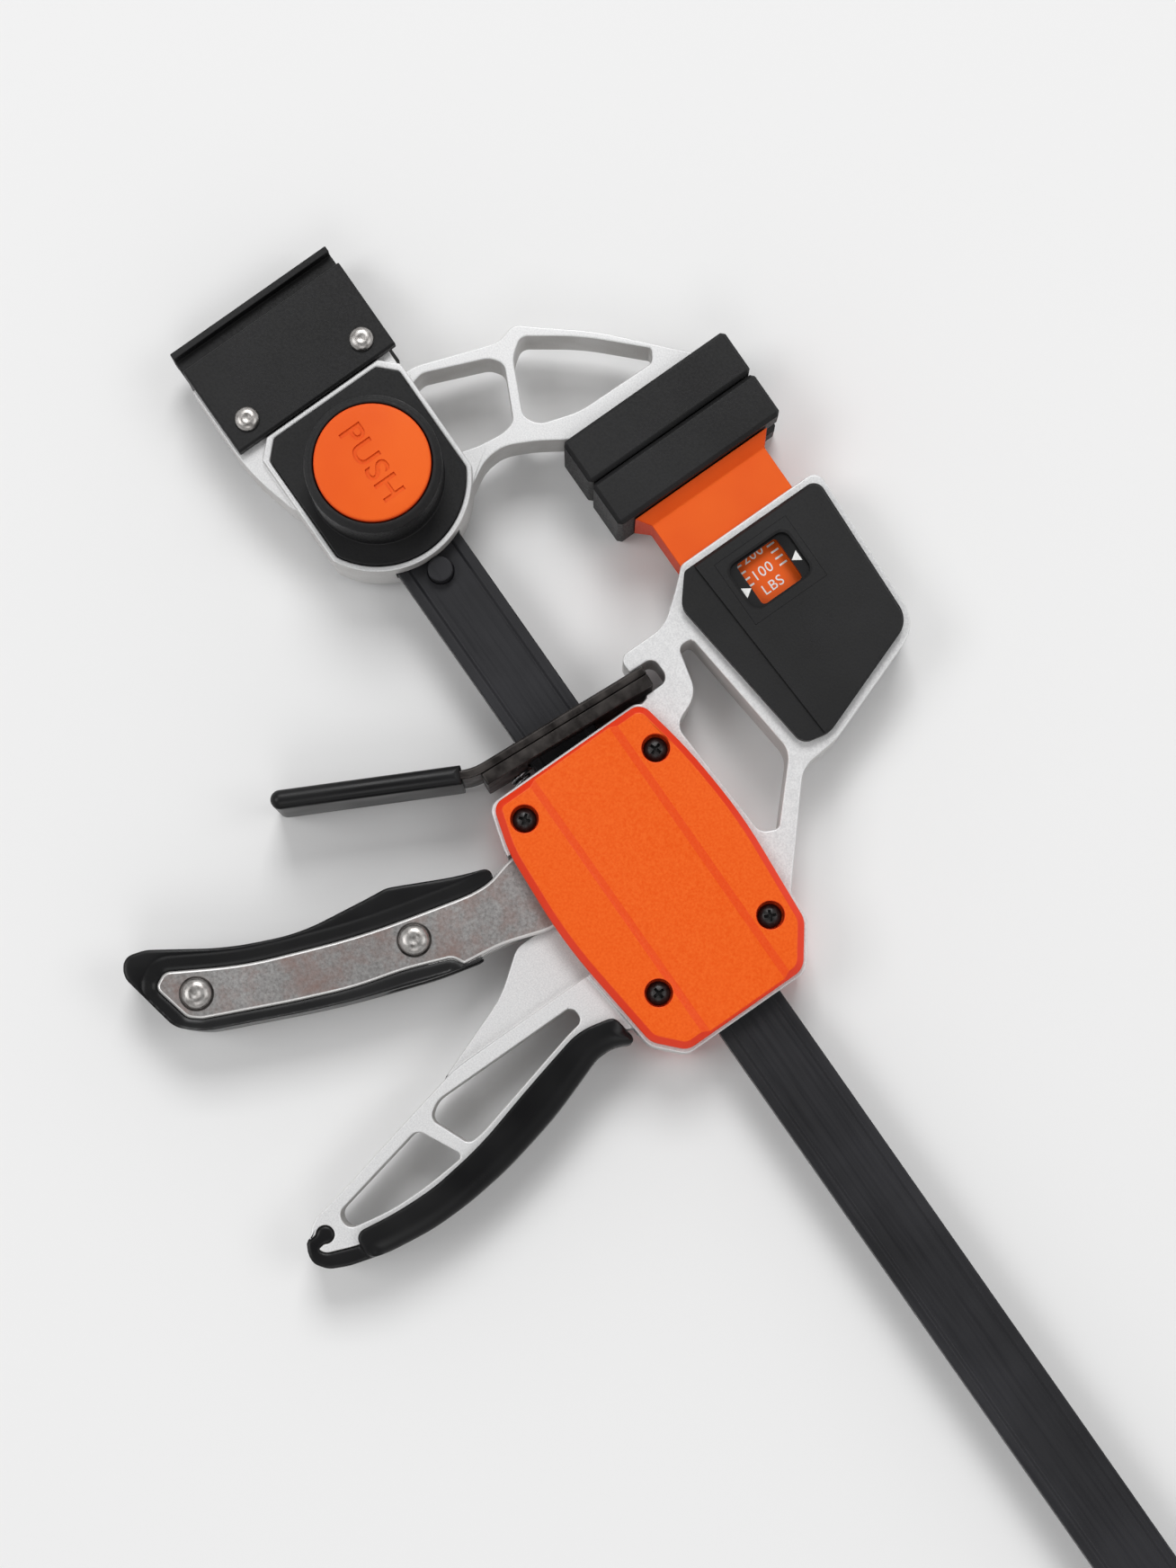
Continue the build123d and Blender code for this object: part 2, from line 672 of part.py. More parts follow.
def make_carriage_frame():
    """Die-cast carriage: body round the bar, gauge housing, hook for the release lever and handle."""
    depth = casting_half + overrun
    frame = make_carriage_solid() - make_trigger_room()
    lug_top = pivot_y + trigger_eye + seat_gap
    left, right = pivot_x - pivot_lug, pivot_x + pivot_lug
    frame += block(left, right, pivot_y - pivot_lug, lug_top, -lug_half, lug_half)
    frame += slab(shape(web_shares, handle_box), -web_half, web_half)
    frame -= block(body_setback - overrun, body_right + overrun, -pocket_y, pocket_y, -pocket_z, pocket_z)
    frame -= post(pivot_x, pivot_y, pivot_radius + pin_gap, -depth, depth)
    bore = brake_spring_radius + brake_spring_wire / 2 + seat_gap
    length = brake_bore_depth + overrun
    frame -= across(body_setback + brake_bore_depth - length / 2, brake_spring_y()) * Cylinder(bore, length)
    return frame - make_hook_notch() - make_gauge_chamber() - slab(keyhole_face(0), -depth, depth)


def make_hook_notch():
    """Notch that the release lever's head hangs in, open towards the bar."""
    left = hook_x - lever_thickness - hook_room
    top = hook_y + hook_depth
    low = hook_y - hook_depth - lever_foot / 2
    notch = outline([
        (left, low, 0), (body_setback, low, 0), (body_setback, top, hook_arc_share),
        (left, top, hook_arc_share),
    ])
    return slab(notch, -casting_half - overrun, casting_half + overrun)


def make_gauge_chamber():
    """Space in the gauge housing for the plunger's slide and its spring."""
    depth = casting_half + overrun
    half_high = plunger_height / 2 + slide_gap
    half_thick = plunger_thickness / 2 + slide_gap
    start = gauge_left + gauge_wall
    slide_end = gauge_left + plunger_slide + plunger_travel + slide_gap
    spring_end = gauge_left + plunger_slide + gauge_spring_length
    spring_half = gauge_spring_radius + gauge_spring_wire
    low, high = jaw_height - half_high, jaw_height + half_high
    mouth = block(gauge_left - overrun, slide_end, low, high, -half_thick, half_thick)
    hall = block(start, slide_end, low, high, -depth, depth)
    nest = block(start, spring_end, jaw_height - spring_half, jaw_height + spring_half, -depth, depth)
    return mouth + hall + nest


def keyhole_face(margin):
    """Keyhole near the handle's tip that anchors the grip's end, shrunk by a margin."""
    centre = Vector(*place(keyhole_shares, handle_box))
    mouth = Vector(*place(keyhole_mouth_shares, handle_box))
    run = (mouth - centre).normalized()
    side = Vector(-run.Y, run.X) * (keyhole_neck / 2 - margin)
    spots = [centre + side, centre - side, mouth - side, mouth + side]
    neck = outline([(spot.X, spot.Y, 0) for spot in spots])
    return Pos(centre.X, centre.Y) * Circle(keyhole_radius - margin) + neck


def make_front_cover():
    """Front cover of the carriage body: bevelled, with a lowered band along the bar and four screw bores."""
    top = casting_half + cover_height
    cover = slab(shape(body_shares, shrink(body_box, cover_inset)), casting_half, top)
    cover = chamfer(cover.faces().sort_by(Axis.Z)[-1].edges(), cover_bevel)
    half = channel_width / 2
    floor = top - channel_depth
    band = make_face(Polyline(
        (-half - channel_depth, top), (channel_depth - half, floor), (half - channel_depth, floor),
        (half + channel_depth, top), (half + channel_depth, top + overrun),
        (-half - channel_depth, top + overrun), close=True,
    ))
    reach = body_length + 2 * overrun
    cover -= Pos(body_setback - overrun, 0, 0) * extrude(Plane.YZ * band, reach)
    for x, y in body_bore_places():
        cover -= post(x, y, cover_bore_radius, casting_half + cover_bore_floor, top + overrun)
    return cover


def make_trigger_plate():
    """Front trigger plate: round eye on the pivot, nose for the drive plate and a long tapering shank."""
    face = shape(trigger_shares, trigger_box) + Pos(pivot_x, pivot_y) * Circle(trigger_eye)
    plate = slab(face, plate_inner, plate_outer)
    plate -= post(pivot_x, pivot_y, pivot_radius + pin_gap, 0, casting_half)
    for x, y in trigger_rivet_places():
        plate -= peg(x, y, trigger_rivet_radius + pin_gap, 0, casting_half)
    return plate


def trigger_rivet_places():
    """Two rivets through the trigger's plates and grip."""
    return [place(shares, trigger_box) for shares in trigger_rivet_shares]


def make_trigger_grip():
    """Moulded trigger grip: a rim round the plates, a core between them and a slot for the handle's web."""
    half = trigger_grip_thickness / 2
    grip = slab(shape(trigger_grip_shares, trigger_box), -half, half)
    pocket = offset(shape(trigger_shares, trigger_box), trigger_seat)
    inner = plate_inner - pin_gap
    grip -= slab(pocket, inner, half + overrun) + slab(pocket, -half - overrun, -inner)
    grip -= slab(shape(trigger_slot_shares, trigger_box), -inner, inner)
    for x, y in trigger_rivet_places():
        grip -= peg(x, y, trigger_rivet_radius + pin_gap, -half, half)
    return grip


def make_trigger_rivets():
    """Rivets that hold the trigger together."""
    one = rivet(trigger_rivet_radius, trigger_rivet_head_radius, trigger_rivet_head_height, plate_outer)
    return Part() + [Pos(x, y, 0) * one for x, y in trigger_rivet_places()]


def make_pivot_pin():
    """Pin that the trigger turns on, kept in place by the two covers."""
    reach = casting_half - slide_gap
    return post(pivot_x, pivot_y, pivot_radius, -reach, reach)


def make_drive_plate():
    """Plate round the bar that the trigger's nose pushes along."""
    near = drive_plate_x()
    half = casting_half - slide_gap
    plate = block(near, near + drive_plate_thickness, -drive_plate_drop, drive_plate_rise, -half, half)
    plate = chamfer(plate.edges().filter_by(Axis.X), drive_plate_bevel)
    far = near + drive_plate_thickness + overrun
    return plate - block(near - overrun, far, -pocket_y, pocket_y, -pocket_z, pocket_z)


def make_drive_spring():
    """Spring that brings the drive plate back to the trigger's nose."""
    spring = spring_form(drive_spring_radius, drive_spring_wire, drive_spring_length)
    return across(drive_plate_x() + drive_plate_thickness, drive_spring_y()) * spring


def lever_frame():
    """Place of the release lever at rest: its own Y runs up to the hook, where its origin is."""
    return Pos(hook_x, hook_y, 0) * Rot(0, 0, -lever_rest_tilt)


def tab_frame():
    """Place of the lever's bent tab, in the lever's own frame."""
    return Pos(0, -lever_foot, 0) * Rot(0, 0, -lever_bend)


def bar_hole():
    """Hole for the bar through the lever and the locking plate, in the lever's own frame."""
    half = bar_width / 2 + lever_bore_gap
    half_thick = bar_thickness / 2 + lever_bore_gap
    reach = lever_foot / 2
    return block(-reach, reach, -hook_y - half, half - hook_y, -half_thick, half_thick)


def make_release_lever():
    """Bent steel lever that hangs in the hook, with a hole for the bar and a tab to press."""
    bend = radians(lever_bend)
    inner = lever_thickness * sin(bend / 2) / cos(bend / 2)
    tip = (-lever_tab * sin(bend), -lever_foot - lever_tab * cos(bend))
    side = outline([
        (0, -lever_sink, 0), (0, -lever_foot, lever_bend_share), (*tip, 0),
        (tip[0] - lever_thickness * cos(bend), tip[1] + lever_thickness * sin(bend), 0),
        (-lever_thickness, inner - lever_foot, lever_bend_share), (-lever_thickness, -lever_sink, 0),
    ])
    lever = bevelled(side, -lever_width / 2, lever_width / 2, lever_bevel)
    return lever_frame() * (lever - bar_hole())


def make_locking_plate():
    """Hardened plate behind the lever that grips the bar while it is tilted."""
    far = pin_gap + lock_plate_thickness
    half = lever_width / 2
    plate = block(pin_gap, far, lock_plate_end - lever_foot, -lever_sink, -half, half)
    plate = chamfer(plate.edges().filter_by(Axis.X), lever_bevel)
    return lever_frame() * (plate - bar_hole())


def make_lever_sleeve():
    """Moulded sleeve over the lever's tab, with a rounded, tapering nose."""
    middle = -lever_thickness / 2
    half = sleeve_thickness / 2
    slim = half * sleeve_nose_share
    end = -lever_tab - half
    side = outline([
        (middle - half, -sleeve_start, root_arc_share), (middle - half, end + sleeve_nose, root_arc_share),
        (middle - slim, end, nose_arc_share), (middle + slim, end, nose_arc_share),
        (middle + half, end + sleeve_nose, root_arc_share), (middle + half, -sleeve_start, root_arc_share),
    ])
    sleeve_half = sleeve_width / 2
    sleeve = bevelled(side, -sleeve_half, sleeve_half, sleeve_bevel)
    slot_wide = lever_width / 2 + pin_gap
    sleeve -= block(-lever_thickness - pin_gap, pin_gap, -lever_tab - pin_gap, 0, -slot_wide, slot_wide)
    return lever_frame() * (tab_frame() * sleeve)


def make_brake_spring():
    """Spring between the locking plate and its bore in the body."""
    tilt = radians(lever_rest_tilt)
    stack = pin_gap + lock_plate_thickness
    drop = hook_y - brake_spring_y()
    start = hook_x + (stack - drop * sin(tilt)) / cos(tilt) + seat_gap
    length = body_setback + brake_bore_depth - start
    spring = coil("brake_spring", brake_spring_radius, brake_spring_wire, brake_wire_sides, length,
                  brake_spring_turns)
    return across(start, brake_spring_y()) * spring


def make_handle_grip():
    """Moulded grip on the back of the handle, with a plug that fills the keyhole."""
    half = grip_thickness / 2
    tail = grip_tail_thickness / 2
    grip = slab(shape(grip_shares, handle_box), -half, half)
    grip += slab(shape(grip_tail_shares, handle_box), -tail, tail)
    hold = handle_thickness / 2 + pin_gap
    grip -= slab(offset(shape(handle_shares, handle_box), pin_gap), -hold, hold)
    return grip + slab(keyhole_face(pin_gap), -tail, tail)


def make_gauge_cover():
    """Gauge cover without a window, drawn on the front: bevelled plate with a lowered lower band."""
    top = casting_half + gauge_cover_height
    cover = slab(shape(gauge_cover_shares, tower_box), casting_half, top)
    cover = chamfer(cover.faces().sort_by(Axis.Z)[-1].edges(), gauge_cover_bevel)
    return cover - slab(shape(gauge_step_shares, tower_box), top - gauge_step, top + overrun)


def make_gauge_front_cover():
    """Gauge cover with a sunk frame and the window that shows the scale."""
    cover = make_gauge_cover()
    top = casting_half + gauge_cover_height
    middle = gauge_left + window_setback
    sunk = panel(middle - window_length / 2, middle + window_length / 2,
                 jaw_height - window_height / 2, jaw_height + window_height / 2)
    floor = top - window_depth
    rim = offset(sunk, window_depth, kind=Kind.INTERSECTION)
    cover -= loft([Pos(0, 0, floor) * sunk, Pos(0, 0, top + pin_gap) * rim])
    sight = panel(middle - sight_length / 2, middle + sight_length / 2,
                  jaw_height - sight_height / 2, jaw_height + sight_height / 2)
    return cover - slab(sight, casting_half - overrun, top)


def make_plunger():
    """Slide that carries the moving pad: flared front, flat body and a seat for the scale."""
    end = gauge_left + plunger_slide
    half_high = plunger_height / 2
    half_thick = plunger_thickness / 2
    low, high = jaw_height - half_high, jaw_height + half_high
    plunger = block(seat_x, end, low, high, -half_thick, half_thick)
    wide = Rectangle(plunger_height + 2 * flare_grow, plunger_thickness + 2 * flare_grow)
    slim = Rectangle(plunger_height, plunger_thickness)
    flare = loft([across(seat_x, jaw_height) * wide, across(seat_x + flare_length, jaw_height) * slim])
    half_scale = scale_height / 2
    seat = block(scale_x, scale_x + scale_length, jaw_height - half_scale, jaw_height + half_scale,
                 half_thick - scale_thickness, half_thick + overrun)
    return plunger + flare + make_tee() - seat


def make_gauge_scale():
    """Scale plate let into the plunger's front."""
    half = scale_height / 2 - pin_gap
    top = plunger_thickness / 2
    return block(scale_x + pin_gap, scale_x + scale_length - pin_gap, jaw_height - half, jaw_height + half,
                 top - scale_thickness, top)


def make_gauge_spring():
    """Stiff spring behind the plunger, which sets the gauge's reading."""
    spring = spring_form(gauge_spring_radius, gauge_spring_wire, gauge_spring_length)
    return across(gauge_left + plunger_slide, jaw_height) * spring


pieces = {
    "bar": make_bar(),
    "bar_stop_pins": make_stop_pins(),
    "fixed_jaw_frame": make_fixed_jaw_frame(),
    "fixed_jaw_pad": mirror(make_pad(), Plane.YZ),
    "joining_rail": make_joining_rail(),
    "joining_rail_rivets": make_rail_rivets(),
    "lock_housing_front": make_lock_housing_front(),
    "lock_housing_rear": make_lock_housing_rear(),
    "push_button": make_push_button(),
    "lock_pin": make_lock_pin(),
    "button_spring": make_button_spring(),
    "carriage_frame": make_carriage_frame(),
    "front_cover": make_front_cover(),
    "rear_cover": mirror(make_front_cover(), Plane.XY),
    "trigger_plate_front": make_trigger_plate(),
    "trigger_plate_rear": mirror(make_trigger_plate(), Plane.XY),
    "trigger_grip": make_trigger_grip(),
    "trigger_rivets": make_trigger_rivets(),
    "trigger_pivot_pin": make_pivot_pin(),
    "drive_plate": make_drive_plate(),
    "drive_spring": make_drive_spring(),
    "release_lever": make_release_lever(),
    "locking_plate": make_locking_plate(),
    "release_lever_sleeve": make_lever_sleeve(),
    "brake_spring": make_brake_spring(),
    "handle_grip": make_handle_grip(),
    "gauge_front_cover": make_gauge_front_cover(),
    "gauge_rear_cover": mirror(make_gauge_cover(), Plane.XY),
    "gauge_plunger": make_plunger(),
    "gauge_scale": make_gauge_scale(),
    "gauge_spring": make_gauge_spring(),
    "moving_jaw_pad": make_pad(),
}

# The shared frame's origin is the middle of the whole clamp's underside
boxes = [piece.bounding_box() for piece in pieces.values()]
x_low, x_high = min(box.min.X for box in boxes), max(box.max.X for box in boxes)
y_low, y_high = min(box.min.Y for box in boxes), max(box.max.Y for box in boxes)
z_low = min(box.min.Z for box in boxes)
shift = Pos(-(x_low + x_high) / 2, -(y_low + y_high) / 2, -z_low)
print("offset", -(x_low + x_high) / 2, -(y_low + y_high) / 2, -z_low)

os.makedirs("parts", exist_ok=True)
for name, piece in pieces.items():
    export_step(shift * piece, f"parts/{name}.step")
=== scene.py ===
import json
import math

import bmesh
import bpy
from mathutils import Matrix, Vector
from mathutils.bvhtree import BVHTree


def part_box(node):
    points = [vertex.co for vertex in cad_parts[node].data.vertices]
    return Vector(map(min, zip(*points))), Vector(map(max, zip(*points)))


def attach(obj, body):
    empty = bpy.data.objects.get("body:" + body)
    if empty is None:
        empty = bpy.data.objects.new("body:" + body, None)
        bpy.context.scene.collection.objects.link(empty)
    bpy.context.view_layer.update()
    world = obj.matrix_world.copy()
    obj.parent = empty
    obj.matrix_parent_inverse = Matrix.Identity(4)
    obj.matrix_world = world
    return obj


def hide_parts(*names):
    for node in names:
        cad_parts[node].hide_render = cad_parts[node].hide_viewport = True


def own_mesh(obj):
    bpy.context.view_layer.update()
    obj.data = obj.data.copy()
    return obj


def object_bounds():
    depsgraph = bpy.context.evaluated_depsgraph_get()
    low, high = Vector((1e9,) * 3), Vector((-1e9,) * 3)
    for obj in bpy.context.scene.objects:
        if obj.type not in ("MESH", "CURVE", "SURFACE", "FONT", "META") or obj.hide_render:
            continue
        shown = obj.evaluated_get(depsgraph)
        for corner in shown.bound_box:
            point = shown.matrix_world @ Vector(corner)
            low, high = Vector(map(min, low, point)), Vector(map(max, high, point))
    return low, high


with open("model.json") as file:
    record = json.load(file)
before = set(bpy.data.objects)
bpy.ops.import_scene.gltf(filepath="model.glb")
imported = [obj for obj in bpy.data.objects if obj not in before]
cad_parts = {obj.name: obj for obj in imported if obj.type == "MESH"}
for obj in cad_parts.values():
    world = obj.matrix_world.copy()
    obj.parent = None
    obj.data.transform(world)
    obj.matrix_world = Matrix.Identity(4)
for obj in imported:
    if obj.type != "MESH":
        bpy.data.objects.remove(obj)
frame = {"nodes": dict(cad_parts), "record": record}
cad_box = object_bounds()
scene = bpy.context.scene
nodes = frame["nodes"]
MM = 0.001
MERGE = 0.001 * MM  # corners nearer to each other than this are one

# The clamp's own datum, where the pads meet on the bar's axis, is found from the CAD pieces.
moving_pad_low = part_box("moving_jaw_pad")[0]
fixed_pad_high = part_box("fixed_jaw_pad")[1]
bar_low, bar_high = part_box("bar")
DATUM = Vector((
    (moving_pad_low.x + fixed_pad_high.x) / 2,
    (bar_low.y + bar_high.y) / 2,
    (bar_low.z + bar_high.z) / 2,
))


def at(x, y, z):
    """Point given in millimetres from the clamp's datum, in the shared frame."""
    return DATUM + Vector((x, y, z)) * MM


def level_of(height):
    """Height in the shared frame as millimetres from the clamp's datum."""
    return (height - DATUM.z) / MM


# Materials


class Finish:
    """A principled material with helpers that wire procedural detail into it."""

    def __init__(self, name, color, rough, metal=0.0, spec=0.5):
        self.material = bpy.data.materials.new(name)
        self.material.use_nodes = True
        self.tree = self.material.node_tree
        self.shader = self.tree.nodes["Principled BSDF"]
        self.shader.inputs["Base Color"].default_value = (*color, 1)
        self.shader.inputs["Roughness"].default_value = rough
        self.shader.inputs["Metallic"].default_value = metal
        self.shader.inputs["Specular IOR Level"].default_value = spec
        self.place = self.node("TexCoord").outputs["Object"]

    def node(self, kind):
        return self.tree.nodes.new("ShaderNode" + kind)

    def link(self, source, target):
        self.tree.links.new(source, target)

    def noise(self, scale, detail, stretch=(1, 1, 1), rough=0.55):
        """Noise in the shared frame; scale is in turns per metre."""
        mapping = self.node("Mapping")
        mapping.inputs["Scale"].default_value = stretch
        self.link(self.place, mapping.inputs["Vector"])
        noise = self.node("TexNoise")
        noise.inputs["Scale"].default_value = scale
        noise.inputs["Detail"].default_value = detail
        noise.inputs["Roughness"].default_value = rough
        self.link(mapping.outputs["Vector"], noise.inputs["Vector"])
        return noise.outputs["Fac"]

    def span(self, source, low=0, high=1, start=0.35, end=0.65):
        """Source values between start and end, spread over low to high."""
        spread = self.node("MapRange")
        spread.inputs["From Min"].default_value = start
        spread.inputs["From Max"].default_value = end
        spread.inputs["To Min"].default_value = low
        spread.inputs["To Max"].default_value = high
        self.link(source, spread.inputs["Value"])
        return spread.outputs["Result"]

    def blend(self, factor, first, second):
        """Colour between two colours or colour sources."""
        mix = self.node("Mix")
        mix.data_type = "RGBA"
        self.link(factor, mix.inputs["Factor"])
        first_color, second_color, mixed_color = mix.inputs[6], mix.inputs[7], mix.outputs[2]
        for value, socket in ((first, first_color), (second, second_color)):
            if isinstance(value, tuple):
                socket.default_value = (*value, 1)
            else:
                self.link(value, socket)
        return mixed_color

    def calculate(self, operation, *sources):
        """Result of a math node's operation on one or two sources."""
        step = self.node("Math")
        step.operation = operation
        for source, socket in zip(sources, step.inputs):
            self.link(source, socket)
        return step.outputs["Value"]

    def color(self, source):
        self.link(source, self.shader.inputs["Base Color"])

    def rough(self, source):
        self.link(source, self.shader.inputs["Roughness"])

    def bump(self, height, strength, distance):
        """Bump from a height source; distance is in millimetres."""
        bump = self.node("Bump")
        bump.inputs["Strength"].default_value = strength
        bump.inputs["Distance"].default_value = distance * MM
        self.link(height, bump.inputs["Height"])
        self.link(bump.outputs["Normal"], self.shader.inputs["Normal"])

    def facing(self):
        """One on faces that look to the front or rear, zero on side walls."""
        split = self.node("SeparateXYZ")
        self.link(self.node("NewGeometry").outputs["True Normal"], split.inputs["Vector"])
        return self.calculate("ABSOLUTE", split.outputs["Z"])


def make_casting():
    f = Finish("casting", (0.80, 0.80, 0.80), 0.42, metal=0.25)
    speck = f.noise(scale=2600, detail=2)
    broad = f.noise(scale=60, detail=3)
    front = f.blend(f.span(speck), (0.69, 0.69, 0.695), (0.80, 0.80, 0.80))
    # Side walls are painted a darker grey than the front faces: painted shade on the same cast
    # metal.
    shaded_wall = f.blend(f.span(broad), (0.50, 0.485, 0.47), (0.62, 0.61, 0.60))
    f.color(f.blend(f.span(f.facing(), start=0.25, end=0.75), shaded_wall, front))
    f.rough(f.span(speck, low=0.30, high=0.46))
    f.bump(speck, strength=0.2, distance=0.05)
    return f.material


def make_orange_gloss():
    f = Finish("orange_gloss", (0.87, 0.115, 0.006), 0.34, spec=0.25)
    broad = f.noise(scale=18, detail=2)
    grain = f.noise(scale=1700, detail=3)
    facing = f.facing()
    speckle = f.span(grain, start=0.3, end=0.7)
    front = f.blend(speckle, (0.80, 0.090, 0.005), (0.88, 0.130, 0.007))
    # Side walls, and the sloped edges between them and the front, are painted redder and darker:
    # painted shade on the same orange paint.
    shaded_wall = f.blend(f.span(broad), (0.70, 0.044, 0.007), (0.76, 0.058, 0.008))
    side = f.blend(f.span(facing, start=0.3, end=0.65), shaded_wall, (0.79, 0.042, 0.009))
    f.color(f.blend(f.span(facing, start=0.80, end=0.985), side, front))
    f.rough(f.span(grain, low=0.30, high=0.44))
    f.bump(grain, strength=0.28, distance=0.05)
    return f.material


def make_orange_matte():
    f = Finish("orange_matte", (0.86, 0.13, 0.012), 0.5, spec=0.22)
    grain = f.noise(scale=2600, detail=2)
    broad = f.noise(scale=45, detail=2)
    front = f.blend(f.span(broad), (0.80, 0.100, 0.005), (0.85, 0.122, 0.007))
    # Side walls are painted redder and darker than the front: painted shade on the same orange.
    shaded_wall = (0.72, 0.055, 0.008)
    f.color(f.blend(f.span(f.facing(), start=0.25, end=0.97), shaded_wall, front))
    f.rough(f.span(grain, low=0.42, high=0.60))
    f.bump(grain, strength=0.2, distance=0.05)
    return f.material


def make_black_plastic():
    f = Finish("black_plastic", (0.010, 0.010, 0.011), 0.5, spec=0.26)
    grain = f.noise(scale=1500, detail=3)
    broad = f.noise(scale=35, detail=3)
    f.color(f.blend(f.span(broad), (0.0080, 0.0080, 0.0084), (0.0125, 0.0125, 0.0132)))
    f.rough(f.span(grain, low=0.42, high=0.62))
    f.bump(grain, strength=0.42, distance=0.08)
    return f.material


def make_black_rubber():
    f = Finish("black_rubber", (0.006, 0.006, 0.0065), 0.30, spec=0.25)
    grain = f.noise(scale=1500, detail=2)
    broad = f.noise(scale=40, detail=2)
    f.color(f.blend(f.span(broad), (0.0045, 0.0045, 0.005), (0.0075, 0.0075, 0.008)))
    f.rough(f.span(broad, low=0.26, high=0.38))
    f.bump(grain, strength=0.06, distance=0.04)
    return f.material


def make_bar_steel():
    f = Finish("bar_steel", (0.012, 0.012, 0.014), 0.42, metal=0.15, spec=0.3)
    drawn = f.noise(scale=900, detail=3, stretch=(0.03, 1, 1))
    broad = f.noise(scale=25, detail=3)
    f.color(f.blend(f.span(broad), (0.013, 0.013, 0.0148), (0.024, 0.024, 0.0275)))
    f.rough(f.span(drawn, low=0.34, high=0.52))
    f.bump(drawn, strength=0.07, distance=0.03)
    return f.material


def make_zinc_steel():
    """Speckled grey plate with reddish stains, and a painted highlight on its rounded edges."""
    f = Finish("zinc_steel", (0.40, 0.375, 0.365), 0.34, metal=0.55)
    speck = f.noise(scale=1300, detail=5, rough=0.65)
    stain = f.noise(scale=75, detail=5, rough=0.7)
    broad = f.noise(scale=28, detail=2)
    speckle = f.span(speck, start=0.3, end=0.7)
    grey = f.blend(speckle, (0.235, 0.225, 0.22), (0.46, 0.45, 0.445))
    face = f.blend(f.span(stain, high=0.7, start=0.46, end=0.68), grey, (0.33, 0.20, 0.17))
    # The rounded edges are painted pale: a painted highlight where they catch the light.
    edge_highlight = (0.70, 0.69, 0.68)
    f.color(f.blend(f.span(f.facing(), start=0.975, end=0.995), edge_highlight, face))
    f.rough(f.span(broad, low=0.30, high=0.40))
    f.bump(speck, strength=0.05, distance=0.02)
    return f.material


def mottled(name, color, rough, scale, detail, tones, roughs, bump=None, **shader):
    """Material with one mottle in its colour, its roughness and, if given, its bump."""
    f = Finish(name, color, rough, **shader)
    mottle = f.noise(scale, detail)
    f.color(f.blend(f.span(mottle), *tones))
    f.rough(f.span(mottle, *roughs))
    if bump:
        f.bump(mottle, *bump)
    return f.material


FINISHES = {
    "casting": make_casting(),
    "orange_gloss": make_orange_gloss(),
    "orange_matte": make_orange_matte(),
    "black_plastic": make_black_plastic(),
    "black_rubber": make_black_rubber(),
    "bar_steel": make_bar_steel(),
    "zinc_steel": make_zinc_steel(),
    "dark_steel": mottled(
        "dark_steel", (0.05, 0.043, 0.04), 0.38, scale=260, detail=4, metal=0.6,
        roughs=(0.28, 0.46), tones=((0.016, 0.013, 0.012), (0.044, 0.038, 0.035)), bump=(0.1, 0.05),
    ),
    "bright_steel": mottled(
        "bright_steel", (0.72, 0.71, 0.70), 0.3, scale=700, detail=3, metal=1.0,
        roughs=(0.28, 0.40), tones=((0.36, 0.34, 0.325), (0.50, 0.485, 0.47)),
    ),
    "spring_steel": mottled(
        "spring_steel", (0.42, 0.42, 0.43), 0.3, scale=600, detail=2, metal=1.0,
        roughs=(0.24, 0.38), tones=((0.34, 0.34, 0.35), (0.50, 0.50, 0.51)),
    ),
}
INK = mottled(
    "white_ink", (0.80, 0.80, 0.79), 0.5, scale=1800, detail=2, spec=0.3,
    roughs=(0.45, 0.60), tones=((0.74, 0.74, 0.73), (0.84, 0.84, 0.83)),
)
BLACK_SCREW = mottled(
    "black_screw", (0.018, 0.017, 0.017), 0.35, scale=900, detail=2, metal=0.4,
    roughs=(0.28, 0.44), tones=((0.012, 0.012, 0.012), (0.026, 0.025, 0.025)),
)
for entry in frame["record"]["subparts"]:
    materials = nodes[entry["node"]].data.materials
    materials.clear()
    materials.append(FINISHES[entry["material_slot"]])

# Rounded edges on the CAD pieces

FLAT_ANGLE = math.radians(0.5)
SHARP_ANGLE = math.radians(28)
NORMAL_WEIGHT = 60


def soften(width, segments, *things):
    """Rounds the sharp edges of things with modifiers; width is in millimetres.

    A thing is an object or a CAD piece's name."""
    for thing in things:
        thing = nodes.get(thing, thing)
        thing.data.shade_smooth()
        weld = thing.modifiers.new("weld", "WELD")
        weld.merge_threshold = MERGE
        flat = thing.modifiers.new("flat", "DECIMATE")
        flat.decimate_type = "DISSOLVE"
        flat.angle_limit = FLAT_ANGLE
        rounding = thing.modifiers.new("rounding", "BEVEL")
        rounding.width = width * MM
        rounding.segments = segments
        rounding.limit_method = "ANGLE"
        rounding.angle_limit = SHARP_ANGLE
        rounding.use_clamp_overlap = False
        normals = thing.modifiers.new("normals", "WEIGHTED_NORMAL")
        normals.weight = NORMAL_WEIGHT


soften(0.45, 3, "fixed_jaw_frame", "carriage_frame")
soften(0.28, 3, "joining_rail")
soften(0.18, 2, "fixed_jaw_pad", "moving_jaw_pad")
soften(0.22, 2, "front_cover", "rear_cover", "gauge_rear_cover")
soften(0.35, 3, "lock_housing_front")
soften(0.8, 3, "trigger_plate_front", "trigger_plate_rear")
soften(0.5, 3, "bar_stop_pins")
soften(0.3, 2, "bar", "release_lever", "locking_plate", "drive_plate", "gauge_plunger")

# Helpers for the scene's own pieces


def added(name, data):
    """New object in the scene."""
    thing = bpy.data.objects.new(name, data)
    scene.collection.objects.link(thing)
    return thing


def applied(thing):
    """Mesh of an object with its modifiers applied; the object itself goes."""
    bpy.context.view_layer.update()
    graph = bpy.context.evaluated_depsgraph_get()
    mesh = bpy.data.meshes.new_from_object(thing.evaluated_get(graph))
    bpy.data.objects.remove(thing)
    return mesh


def finished(build):
    """Mesh from a builder, with its faces turned outwards."""
    bmesh.ops.recalc_face_normals(build, faces=build.faces)
    mesh = bpy.data.meshes.new("form")
    build.to_mesh(mesh)
    build.free()
    return mesh


